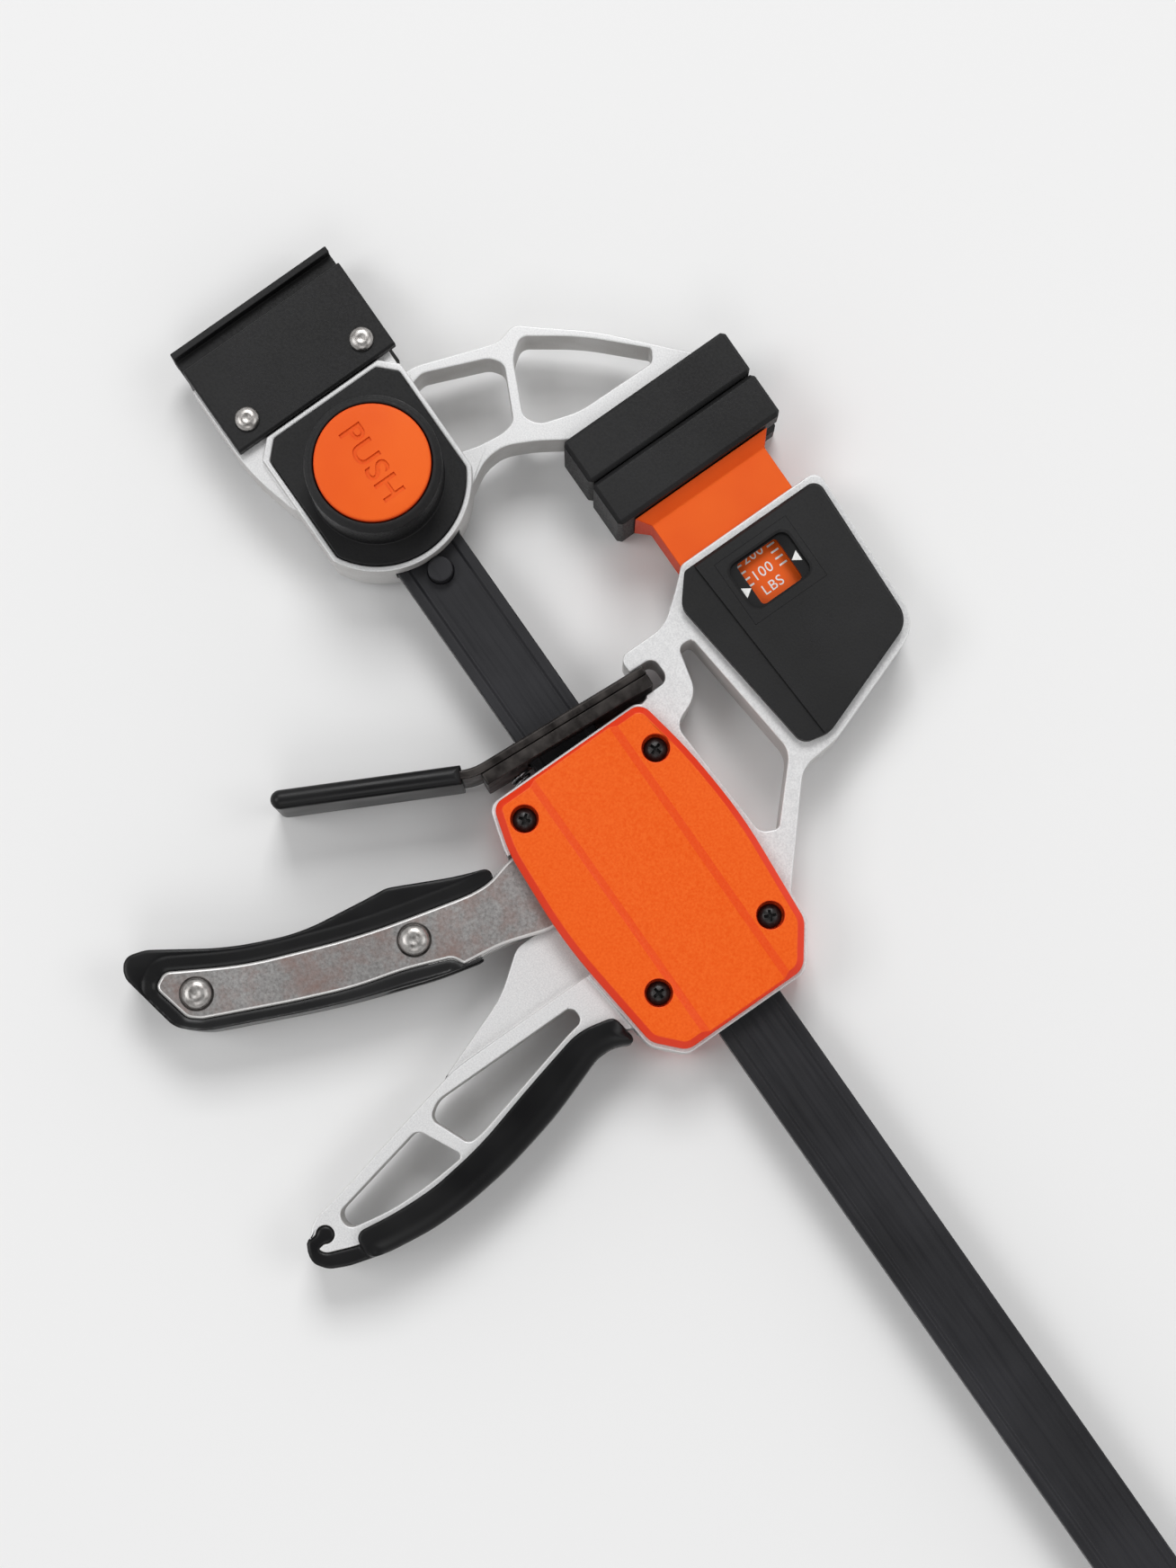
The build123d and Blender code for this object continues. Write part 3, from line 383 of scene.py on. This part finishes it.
def lathe(profile, sides):
    """Mesh turned about its own Z axis from (radius, height) points in millimetres."""
    build = bmesh.new()
    rings = []
    for radius, height in profile:
        count = sides if radius else 1
        turns = [2 * math.pi * i / count for i in range(count)]
        rings.append([
            build.verts.new((radius * math.cos(t) * MM, radius * math.sin(t) * MM, height * MM))
            for t in turns
        ])
    for low, high in zip(rings, rings[1:]):
        for i in range(sides):
            corners = [
                low[i % len(low)], low[(i + 1) % len(low)],
                high[(i + 1) % len(high)], high[i % len(high)],
            ]
            build.faces.new(list(dict.fromkeys(corners)))
    return finished(build)


def prism(points, low, high, taper=1.0):
    """Mesh over an outline in millimetres, from low to high, with its low end scaled by taper."""
    build = bmesh.new()
    foot = [build.verts.new((x * taper * MM, y * taper * MM, low * MM)) for x, y in points]
    head = [build.verts.new((x * MM, y * MM, high * MM)) for x, y in points]
    build.faces.new(foot)
    build.faces.new(head)
    for i in range(len(points)):
        j = (i + 1) % len(points)
        build.faces.new((foot[i], foot[j], head[j], head[i]))
    return finished(build)


def letters(text, height, depth, spacing=1.0, weight=0.0):
    """Mesh of upright letters, centred on their own XY plane.

    The height of the capitals and the depth are in millimetres; the weight thickens the strokes."""
    curve = bpy.data.curves.new("letters", "FONT")
    curve.body = text
    curve.align_x = "CENTER"
    curve.align_y = "CENTER"
    curve.space_character = spacing
    curve.extrude = 0.5  # half of a depth of one, which is scaled below
    curve.offset = weight
    curve.resolution_u = 6
    mesh = applied(added("letters", curve))
    low = min(v.co.y for v in mesh.vertices)
    tall = max(v.co.y for v in mesh.vertices) - low
    left = min(v.co.x for v in mesh.vertices)
    wide = max(v.co.x for v in mesh.vertices) - left
    scale = height * MM / tall
    mesh.transform(Matrix.Translation((-left - wide / 2, -low - tall / 2, 0)))
    mesh.transform(Matrix.Diagonal((scale, scale, depth * MM, 1)))
    build = bmesh.new()
    build.from_mesh(mesh)
    bmesh.ops.remove_doubles(build, verts=build.verts, dist=2 * MERGE)
    return finished(build)


def carve(mesh, tool):
    """The mesh with the tool's form cut out of it."""
    block, cutter = added("block", mesh), added("cutter", tool)
    cut = block.modifiers.new("cut", "BOOLEAN")
    cut.object = cutter
    cut.solver = "EXACT"
    result = applied(block)
    bpy.data.objects.remove(cutter)
    return result


def gathered(copies):
    """Builder that holds meshes, each moved to its place."""
    build = bmesh.new()
    for mesh, place in copies:
        placed = mesh.copy()
        placed.transform(place)
        build.from_mesh(placed)
        bpy.data.meshes.remove(placed)
    return build


def joined(copies):
    """One mesh of meshes, each with its place, with their split corners closed."""
    build = gathered(copies)
    bmesh.ops.remove_doubles(build, verts=build.verts, dist=MERGE)
    return finished(build)


def piece(name, finish, body, copies, smooth=40):
    """Object made of meshes, each with its place in the shared frame, that rides on a body.

    Edges under the smooth angle, in degrees, are shaded as round."""
    build = gathered(copies)
    for face in build.faces:
        face.smooth = True
    for edge in build.edges:
        edge.smooth = len(edge.link_faces) == 2 and edge.calc_face_angle() < math.radians(smooth)
    mesh = bpy.data.meshes.new(name)
    build.to_mesh(mesh)
    build.free()
    mesh.materials.clear()
    mesh.materials.append(finish)
    thing = added(name, mesh)
    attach(thing, body)
    return thing


def spot(x, y, z, turn=0.0, rear=False):
    """Place for a mesh at a point in clamp millimetres, with a turn in degrees.

    A mesh with rear set looks to the clamp's rear."""
    flip = Matrix.Rotation(math.pi, 4, "X") if rear else Matrix()
    return Matrix.Translation(at(x, y, z)) @ flip @ Matrix.Rotation(math.radians(turn), 4, "Z")


# Soft mouldings

FACES_KEPT = 0.25
SMOOTH_FACTOR = 0.5
UPRIGHT = 0.3  # largest share of its normal that an upright face has along Z


def moulding(node, body, voxel, passes, fall, form=None):
    """Rubber piece in a CAD piece's place: its form on a fine grid, smoothed until it is round.

    The fall holds what slope() takes after the mesh; a form may stand for the CAD piece's own."""
    holder = added("moulding", form or nodes[node].data.copy())
    weld = holder.modifiers.new("weld", "WELD")
    weld.merge_threshold = MERGE
    grid = holder.modifiers.new("grid", "REMESH")
    grid.mode = "VOXEL"
    grid.voxel_size = voxel * MM
    smooth = holder.modifiers.new("smooth", "SMOOTH")
    smooth.factor = SMOOTH_FACTOR
    smooth.iterations = passes
    mesh = applied(holder)
    slope(mesh, **fall)
    thing = piece(node + "_moulding", FINISHES["black_rubber"], body, [(mesh, Matrix())])
    lighter = thing.modifiers.new("lighter", "DECIMATE")
    lighter.ratio = FACES_KEPT
    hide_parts(node)


def crown(away):
    """Round fall, steep at its foot; away runs from 0 at the foot to 1."""
    return math.sqrt(1 - (1 - away) ** 2)


def ease(away):
    """Soft fall, level at its foot and head."""
    return away * away * (3 - 2 * away)


def slope(mesh, tree, probe, level, reach, profile=crown):
    """Curves a moulding's front and rear down to a level, which they meet at the faces of a tree.

    Distances from the faces are taken at the probe's height, and the fall begins at the reach,
    in millimetres."""
    for vertex in mesh.vertices:
        height = vertex.co.z - DATUM.z
        if abs(height) > level:
            foot = Vector((vertex.co.x, vertex.co.y, probe))
            away = tree.find_nearest(foot)[3] / (reach * MM)
            share = profile(min(away, 1))
            vertex.co.z = DATUM.z + math.copysign(level + (abs(height) - level) * share, height)


def walls(mesh, level=0.0):
    """Face tree of a mesh's upright faces that rise above a level."""
    corners = [v.co for v in mesh.vertices]
    upright = [
        p.vertices for p in mesh.polygons
        if abs(p.normal.z) < UPRIGHT
        and max(abs(corners[i].z - DATUM.z) for i in p.vertices) > level
    ]
    return BVHTree.FromPolygons(corners, upright)


# The handle's grip is crowned above the casting's faces
HANDLE_FACE = 7.1 * MM
moulding("handle_grip", "carriage", voxel=0.4, passes=10, fall={
    "tree": walls(nodes["handle_grip"].data, HANDLE_FACE),
    "probe": DATUM.z, "level": HANDLE_FACE, "reach": 5.0,
})

# The trigger's grip falls to its plates, just below their faces
PLATE_SHOW = 0.35 * MM
plate_low, plate_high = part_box("trigger_plate_front")
moulding("trigger_grip", "trigger", voxel=0.4, passes=16, fall={
    "tree": walls(nodes["trigger_plate_front"].data),
    "probe": (plate_low.z + plate_high.z) / 2,
    "level": plate_high.z - DATUM.z - PLATE_SHOW, "reach": 4.2, "profile": ease,
})

# The lever's sleeve has a round nose. It is drawn in the lever tab's own frame, with its
# thickness along X and its nose down Y.
HOOK = at(47.2, 28.5735, 0)
LEVER_TILT, TAB_TURN = math.radians(-3.7), math.radians(-23.5)
TAB_DROP = -52 * MM
NOSE_STEPS = 16
SLEEVE_CROWN = 2.0
TAB = (
    Matrix.Translation(HOOK) @ Matrix.Rotation(LEVER_TILT, 4, "Z")
    @ Matrix.Translation((0, TAB_DROP, 0)) @ Matrix.Rotation(TAB_TURN, 4, "Z")
)
sleeve_corners = [TAB.inverted() @ v.co / MM for v in nodes["release_lever_sleeve"].data.vertices]
thin, tip, flank = (min(c[axis] for c in sleeve_corners) for axis in range(3))
thick, root = (max(c[axis] for c in sleeve_corners) for axis in range(2))
nose = (thick - thin) / 2
sleeve_outline = [(thick, root), (thin, root)] + [
    (thin + nose - nose * math.cos(t), tip + nose - nose * math.sin(t))
    for t in (math.pi * i / NOSE_STEPS for i in range(NOSE_STEPS + 1))
]
sleeve_form = prism(sleeve_outline, flank, -flank)
sleeve_form.transform(TAB)
moulding("release_lever_sleeve", "release", voxel=0.3, passes=10, form=sleeve_form, fall={
    "tree": walls(sleeve_form),
    "probe": DATUM.z, "level": -(flank + SLEEVE_CROWN) * MM, "reach": nose,
})

# Screws with cross recesses

ARM, TIP = 0.42, 1.75
CROSS = [
    (TIP, -ARM), (TIP, ARM), (ARM, ARM), (ARM, TIP), (-ARM, TIP), (-ARM, ARM),
    (-TIP, ARM), (-TIP, -ARM), (-ARM, -ARM), (-ARM, -TIP), (ARM, -TIP), (ARM, -ARM),
]
CROSS_TAPER = 0.7
CROSS_TOP = 1.2  # share of a head's height that the cutter reaches, clear of its crown
RIM_TURNS = (0.0, 0.4, 0.75, 1.05, 1.3)  # in radians, up the head's rounded rim
SKIRT = 0.35  # share of a head's height that is its straight skirt
SCREW_SIDES = 40


def screw_head(radius, height):
    """Pan head with a cross recess, seated on its own XY plane."""
    rim = [
        (radius * math.cos(t), height * (SKIRT + (1 - SKIRT) * math.sin(t)))
        for t in RIM_TURNS
    ]
    head = lathe([(0, 0), (radius, 0), *rim, (0, height)], SCREW_SIDES)
    return carve(head, prism(CROSS, height * SKIRT, height * CROSS_TOP, CROSS_TAPER))


# Places of screws are x, y and turn
COVER_SCREWS = [(64.1, 18.2, 20), (115.4, 17.7, 65), (59.7, -19.3, 38), (115.3, -16.7, 5)]
BORE_FLOOR = 9.0
cover_head = screw_head(radius=3.1, height=2.2)
for side, rear in (("front", False), ("rear", True)):
    level = -BORE_FLOOR if rear else BORE_FLOOR
    heads = piece(
        f"cover_screws_{side}", BLACK_SCREW, "carriage",
        [(cover_head, spot(x, y, level, turn, rear)) for x, y, turn in COVER_SCREWS],
    )

# Two of the gauge's screws are sunk, by a depth that stands before their turn
GAUGE_SCREWS = [
    (36.0, 88.8, 0, 12), (72.0, 87.4, 0, 50), (81.4, 56.0, 0.7, 75), (38.9, 47.7, 0.7, 30),
]
gauge_rear = level_of(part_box("gauge_rear_cover")[0].z)
gauge_head = screw_head(radius=2.6, height=1.2)
gauge_heads = piece(
    "gauge_cover_screws", BLACK_SCREW, "carriage",
    [(gauge_head, spot(x, y, gauge_rear + sunk, turn, True)) for x, y, sunk, turn in GAUGE_SCREWS],
)

# Rear plate of the lock, with screws sunk flush in its corners
LOCK_SCREWS = [(-49.7, 13.8, 15), (-49.7, -13.8, 62), (-21.1, 11.0, 40), (-21.1, -11.0, 80)]
LOCK_BORE_RADIUS, LOCK_BORE, LOCK_BORE_START = 3.1, 1.9, -1
lock_rear = level_of(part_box("lock_housing_rear")[0].z)
bore = lathe([
    (0, LOCK_BORE_START), (LOCK_BORE_RADIUS, LOCK_BORE_START),
    (LOCK_BORE_RADIUS, LOCK_BORE), (0, LOCK_BORE),
], SCREW_SIDES)
lock_plate = joined([(nodes["lock_housing_rear"].data, Matrix())])
bores = joined([(bore, spot(x, y, lock_rear)) for x, y, _ in LOCK_SCREWS])
rear_plate = piece(
    "lock_plate_rear", FINISHES["black_plastic"], "fixed_end",
    [(carve(lock_plate, bores), Matrix())],
)
soften(0.22, 2, rear_plate)
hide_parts("lock_housing_rear")
lock_head = screw_head(radius=2.8, height=1.6)
lock_heads = piece(
    "lock_plate_screws", BLACK_SCREW, "fixed_end",
    [(lock_head, spot(x, y, lock_rear + LOCK_BORE, turn, True)) for x, y, turn in LOCK_SCREWS],
)

# Domed rivets

# Shares of a head's radius and height, up to a shallow dimple at its crown
DOME = [
    (0.93, 0), (0.985, 0.12), (1, 0.24), (0.975, 0.42), (0.91, 0.60), (0.81, 0.76), (0.68, 0.89),
    (0.54, 0.97), (0.42, 1), (0.32, 0.99), (0.22, 0.955), (0.11, 0.925), (0, 0.915),
]
RIVET_SIDES = 56


def rivet(radius, height, half):
    """Rivet about its own Z axis with a domed head at each end of its stack."""
    front = [(radius * r, half + height * h) for r, h in DOME]
    return lathe([(r, -h) for r, h in reversed(front)] + front, RIVET_SIDES)


RAIL_HEAD = 1.5
rail_low, rail_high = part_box("joining_rail_rivets")
rail_radius = (rail_high.x - rail_low.x) / 2
rail_half = (rail_high.z - rail_low.z) / 2 / MM - RAIL_HEAD
rail_rivet = rivet(rail_radius / MM, RAIL_HEAD, rail_half)
rail_rivets = piece("rail_rivets_domed", FINISHES["bright_steel"], "fixed_end", [
    (rail_rivet, Matrix.Translation(((rail_low.x + rail_high.x) / 2, y, DATUM.z)))
    for y in (rail_low.y + rail_radius, rail_high.y - rail_radius)
])
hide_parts("joining_rail_rivets")

GRIP_RADIUS, GRIP_HEAD = 4.2, 2.0
DOME_SHARE = 0.95  # a head is a little smaller than the CAD's, and shows the dark ring of painted shade round it
grip_low, grip_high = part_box("trigger_rivets")
grip_half = (grip_high.z - grip_low.z) / 2 / MM - GRIP_HEAD
grip_rivet = rivet(GRIP_RADIUS * DOME_SHARE, GRIP_HEAD, grip_half)
grip_spots = (
    Vector((grip_low.x + GRIP_RADIUS * MM, grip_low.y + GRIP_RADIUS * MM, DATUM.z)),
    Vector((grip_high.x - GRIP_RADIUS * MM, grip_high.y - GRIP_RADIUS * MM, DATUM.z)),
)
grip_rivets = piece(
    "trigger_rivets_domed", FINISHES["bright_steel"], "trigger",
    [(grip_rivet, Matrix.Translation(p)) for p in grip_spots],
)
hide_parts("trigger_rivets")

# Dark steel rings under the trigger's rivets, painted shade round their heads: thin rings with a
# bevelled rim
SHADE_RING_INNER, SHADE_RING_OUTER, SHADE_RING_RIM = GRIP_RADIUS * 0.7, GRIP_RADIUS * 1.07, GRIP_RADIUS * 1.03
SHADE_RING_EDGE, SHADE_RING_TOP = 0.1, 0.16
shade_ring = lathe([
    (SHADE_RING_INNER, 0), (SHADE_RING_OUTER, 0), (SHADE_RING_OUTER, SHADE_RING_EDGE), (SHADE_RING_RIM, SHADE_RING_TOP),
    (SHADE_RING_INNER, SHADE_RING_TOP), (SHADE_RING_INNER, 0),
], RIVET_SIDES)
shade_rings = piece("trigger_rivet_shade_rings", FINISHES["dark_steel"], "trigger", [
    (shade_ring, Matrix.Translation(p + Vector((0, 0, side * grip_half * MM)))
     @ Matrix.Rotation(0 if side > 0 else math.pi, 4, "X"))
    for p in grip_spots for side in (1, -1)
])

# Wound springs

TURN_STEPS = 24
WIRE_SIDES = 10
CLOSED_PITCH = 1.05  # rise of a closed end's turn, in wires


def spring(node, body, wire, turns, axis=0):
    """Round-wire spring in a CAD spring's place, with closed ends.

    It runs along an axis, given by number. The wire is in millimetres."""
    low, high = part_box(node)
    start = (low + high) / 2
    length = high[axis] - low[axis]
    start[axis] = low[axis]
    side = (axis + 1) % 3
    wire *= MM
    radius = (high[side] - low[side]) / 2 - wire / 2
    closed = wire * CLOSED_PITCH
    step = (length - wire - 2 * closed) / (turns - 2)
    along, first, second = (Vector(row) for row in Matrix.Identity(3))
    if axis == 2:
        along, first, second = second, along, first
    build = bmesh.new()
    rings = []
    count = turns * TURN_STEPS
    for i in range(count + 1):
        turn = turns * i / count
        rise = (
            closed * min(turn, 1) + step * min(max(turn - 1, 0), turns - 2)
            + closed * max(turn - turns + 1, 0)
        )
        out = math.cos(2 * math.pi * turn) * first + math.sin(2 * math.pi * turn) * second
        middle = start + along * (wire / 2 + rise) + out * radius
        rings.append([
            build.verts.new(middle + (out * math.cos(t) + along * math.sin(t)) * wire / 2)
            for t in (2 * math.pi * k / WIRE_SIDES for k in range(WIRE_SIDES))
        ])
    for one, two in zip(rings, rings[1:]):
        for k in range(WIRE_SIDES):
            build.faces.new((one[k], one[k - 1], two[k - 1], two[k]))
    build.faces.new(rings[0])
    build.faces.new(rings[-1])
    coil = finished(build)
    thing = piece(node + "_wound", FINISHES["spring_steel"], body, [(coil, Matrix())])
    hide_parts(node)
    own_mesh(thing)


spring("brake_spring", "carriage", wire=1.0, turns=6)
spring("drive_spring", "carriage", wire=1.0, turns=9)
spring("gauge_spring", "carriage", wire=2.0, turns=6)
spring(
    "button_spring", "fixed_end", wire=1.3, turns=6,
    axis=2,
)

# Push button with a debossed word

CAP_WALL, CAP_TOP, CAP_EDGE = 2.4, 3.2, 0.7
CAP_SIDES = 96
cap_low, cap_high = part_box("push_button")
cap_middle = (cap_low + cap_high) / 2
cap_radius = (cap_high.x - cap_low.x) / 2 / MM
cap_height = (cap_high.z - cap_low.z) / MM
cap_edge = [
    (cap_radius - CAP_EDGE + CAP_EDGE * math.cos(t), cap_height - CAP_EDGE + CAP_EDGE * math.sin(t))
    for t in (math.radians(turn) for turn in range(0, 91, 15))
]
cap = lathe([
    (0, cap_height - CAP_TOP), (cap_radius - CAP_WALL, cap_height - CAP_TOP),
    (cap_radius - CAP_WALL, 0), (cap_radius, 0), *cap_edge, (0, cap_height),
], CAP_SIDES)
word = letters("PUSH", height=6.3, depth=1.1, spacing=1.06, weight=0.016)
word.transform(Matrix.Translation((0, 0, cap_height * MM)))
button = piece("button_cap", FINISHES["orange_matte"], "lock_button", [
    (carve(cap, word), Matrix.Translation((cap_middle.x, cap_middle.y, cap_low.z))),
])
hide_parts("push_button")

# Gauge marks: they ride with the scale, and the pointers stay in the window

SCALE_TEXTS = (("200", 37.1), ("100", 42.1), ("LBS", 46.5))
SCALE_Y = 67.2
TICK_XS = (37.8, 39.7, 41.6, 43.5)
TICK_ROWS = ((62.6, 1.7), (72.5, 2.2))  # y and length
MARK_HEIGHT, TICK_HALF, INK_HALF = 2.7, 0.24, 0.03
scale_level = level_of(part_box("gauge_scale")[1].z)
marks = [
    (letters(text, height=MARK_HEIGHT, depth=2 * INK_HALF, spacing=1.08),
     spot(x, SCALE_Y, scale_level, turn=90))
    for text, x in SCALE_TEXTS
]
for x in TICK_XS:
    for y, length in TICK_ROWS:
        stroke = [
            (-TICK_HALF, -length / 2), (TICK_HALF, -length / 2),
            (TICK_HALF, length / 2), (-TICK_HALF, length / 2),
        ]
        marks.append((prism(stroke, -INK_HALF, INK_HALF), spot(x, y, scale_level)))
piece("gauge_marks", INK, "gauge_slide", marks)


def rounded(x_low, x_high, y_low, y_high, radius, steps=8):
    """Outline of a rectangle with round corners, in millimetres."""
    points = []
    for x, y, first in (
        (x_high - radius, y_high - radius, 0), (x_low + radius, y_high - radius, 90),
        (x_low + radius, y_low + radius, 180), (x_high - radius, y_low + radius, 270),
    ):
        for step in range(steps + 1):
            turn = math.radians(first + 90 * step / steps)
            points.append((x + radius * math.cos(turn), y + radius * math.sin(turn)))
    return points


def bezel(levels):
    """Ring-shaped mesh through closed outlines of equal counts, each with its height."""
    build = bmesh.new()
    rings = [[build.verts.new(at(x, y, z)) for x, y in points] for points, z in levels]
    for one, two in zip(rings, rings[1:] + rings[:1]):
        for i in range(len(one)):
            j = (i + 1) % len(one)
            build.faces.new((one[i], one[j], two[j], two[i]))
    return finished(build)


# Bezel in the window's sunk frame, with round corners, a sloping wall and a flat ledge round the
# sight. Its top is a hair below the cover's face.
FRAME_FLOOR = 9.9
LEDGE = FRAME_FLOOR + 0.25
BEZEL_SMOOTH = 20
cover_level = level_of(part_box("gauge_front_cover")[1].z)
BEZEL_DROP, THROAT_DROP = 0.004, 0.35
bezel_top, throat_top = cover_level - BEZEL_DROP, cover_level - THROAT_DROP
frame_foot = rounded(36.1, 51.4, 58.55, 77.45, radius=0.1)
frame_edge = rounded(34.59, 52.91, 57.04, 78.96, radius=0.1)
mouth = rounded(36.3, 50.6, 58.3, 77.6, radius=3.0)
throat = rounded(36.9, 50.2, 58.9, 77.0, radius=2.6)
sight = rounded(37.5, 49.9, 61.6, 73.9, radius=1.1)
window_form = bezel([
    (frame_foot, FRAME_FLOOR), (frame_edge, bezel_top), (mouth, bezel_top),
    (throat, throat_top), (throat, LEDGE), (sight, LEDGE), (sight, FRAME_FLOOR),
])
window = piece(
    "gauge_window_bezel", FINISHES["black_plastic"], "carriage",
    [(window_form, Matrix())], smooth=BEZEL_SMOOTH,
)

# A dark, smooth lining covers the ledge
LINING, LINING_FOOT = LEDGE + 0.06, LEDGE - 0.02
lining_form = bezel([
    (throat, LINING_FOOT), (throat, LINING), (sight, LINING), (sight, LINING_FOOT),
])
lining = piece(
    "gauge_window_lining", FINISHES["black_rubber"], "carriage",
    [(lining_form, Matrix())], smooth=BEZEL_SMOOTH,
)

POINTER_X, POINTER_LOW_Y, POINTER_HIGH_Y = 44.6, 60.35, 75.25
POINTER_HALF = 0.04
arrow = prism([(-1.5, -1.05), (1.5, -1.05), (0.0, 1.2)], -POINTER_HALF, POINTER_HALF)
piece("gauge_pointers", INK, "carriage", [
    (arrow, spot(POINTER_X, POINTER_LOW_Y, LINING)),
    (arrow, spot(POINTER_X, POINTER_HIGH_Y, LINING, turn=180)),
])

# Stage, in metres

HORIZON, ZENITH = 0.85, 0.13
FLOOR_HALF = 40.0
FLOOR_GAP = 0.05 * MM
FADE_START, FADE_END = 1.0, 3.0

floor_build = bmesh.new()
bmesh.ops.create_grid(floor_build, x_segments=1, y_segments=1, size=FLOOR_HALF)
floor_mesh = bpy.data.meshes.new("floor")
floor_build.to_mesh(floor_mesh)
floor_build.free()
floor = added("floor", floor_mesh)
floor.location = (0, 0, cad_box[0].z - FLOOR_GAP)
paint = Finish("floor", (0.85, 0.85, 0.85), 0.9, spec=0.1)
floor_mesh.materials.append(paint.material)

# Far from the clamp the floor shows as plain and pale as the sky that it meets
rays = paint.node("LightPath").outputs
direct = paint.calculate("MAXIMUM", rays["Is Camera Ray"], rays["Is Glossy Ray"])
seen = paint.calculate("MAXIMUM", direct, rays["Is Transmission Ray"])
distance = paint.node("VectorMath")
distance.operation = "LENGTH"
paint.link(paint.place, distance.inputs[0])
far = paint.span(distance.outputs["Value"], start=FADE_START, end=FADE_END)
glow = paint.node("Emission")
glow.inputs["Strength"].default_value = HORIZON
mixed = paint.node("MixShader")
paint.link(paint.calculate("MULTIPLY", seen, far), mixed.inputs["Fac"])
paint.link(paint.shader.outputs["BSDF"], mixed.inputs[1])
paint.link(glow.outputs["Emission"], mixed.inputs[2])
paint.link(mixed.outputs["Shader"], paint.tree.nodes["Material Output"].inputs["Surface"])

# Studio sky: pale at the horizon and darker overhead
world = bpy.data.worlds.new("world")
scene.world = world
world.use_nodes = True
sky = world.node_tree
backdrop = sky.nodes["Background"]
backdrop.inputs["Color"].default_value = (1, 1, 1, 1)
sky_split = sky.nodes.new("ShaderNodeSeparateXYZ")
sky_place = sky.nodes.new("ShaderNodeTexCoord")
sky.links.new(sky_place.outputs["Generated"], sky_split.inputs["Vector"])
sky_range = sky.nodes.new("ShaderNodeMapRange")
sky_range.inputs["To Min"].default_value = HORIZON
sky_range.inputs["To Max"].default_value = ZENITH
sky.links.new(sky_split.outputs["Z"], sky_range.inputs["Value"])
sky.links.new(sky_range.outputs["Result"], backdrop.inputs["Strength"])

# Soft square lamps, aimed at the clamp's middle: name, side in degrees from +X, and watts
LAMPS = (("key", 145, 70.0), ("left", 235, 34.0), ("right", 55, 21.0), ("low", 325, 16.0))
LAMP_SIZE, LAMP_OUT, LAMP_UP = 1.65, 2.4, 3.3
LAMP_TARGET = at(60, 10, 0)
for name, turn, power in LAMPS:
    side = Vector((math.cos(math.radians(turn)), math.sin(math.radians(turn)), 0))
    light = bpy.data.lights.new(name, "AREA")
    light.size = LAMP_SIZE
    light.energy = power
    lamp = added(name, light)
    lamp.location = LAMP_TARGET + side * LAMP_OUT + Vector((0, 0, LAMP_UP))
    lamp.rotation_euler = (LAMP_TARGET - lamp.location).to_track_quat("-Z", "Y").to_euler()

# Camera: straight down, rolled so that the bar runs down to the right, with the photo's own crop
IMAGE_HEIGHT = 1744
FOCAL_PX = 3373
AXIS_DROP_PX = 375
SENSOR_WIDTH = 36.0
CAMERA_PLACE = at(131.6, -50, 780)
CAMERA_ROLL = math.radians(55)
camera_data = bpy.data.cameras.new("camera")
camera_data.sensor_width = SENSOR_WIDTH
camera_data.lens = FOCAL_PX / IMAGE_HEIGHT * SENSOR_WIDTH
camera_data.shift_y = AXIS_DROP_PX / IMAGE_HEIGHT
camera = added("camera", camera_data)
camera.location = CAMERA_PLACE
camera.rotation_euler = (0, 0, CAMERA_ROLL)
scene.camera = camera

scene.view_settings.view_transform = "Standard"
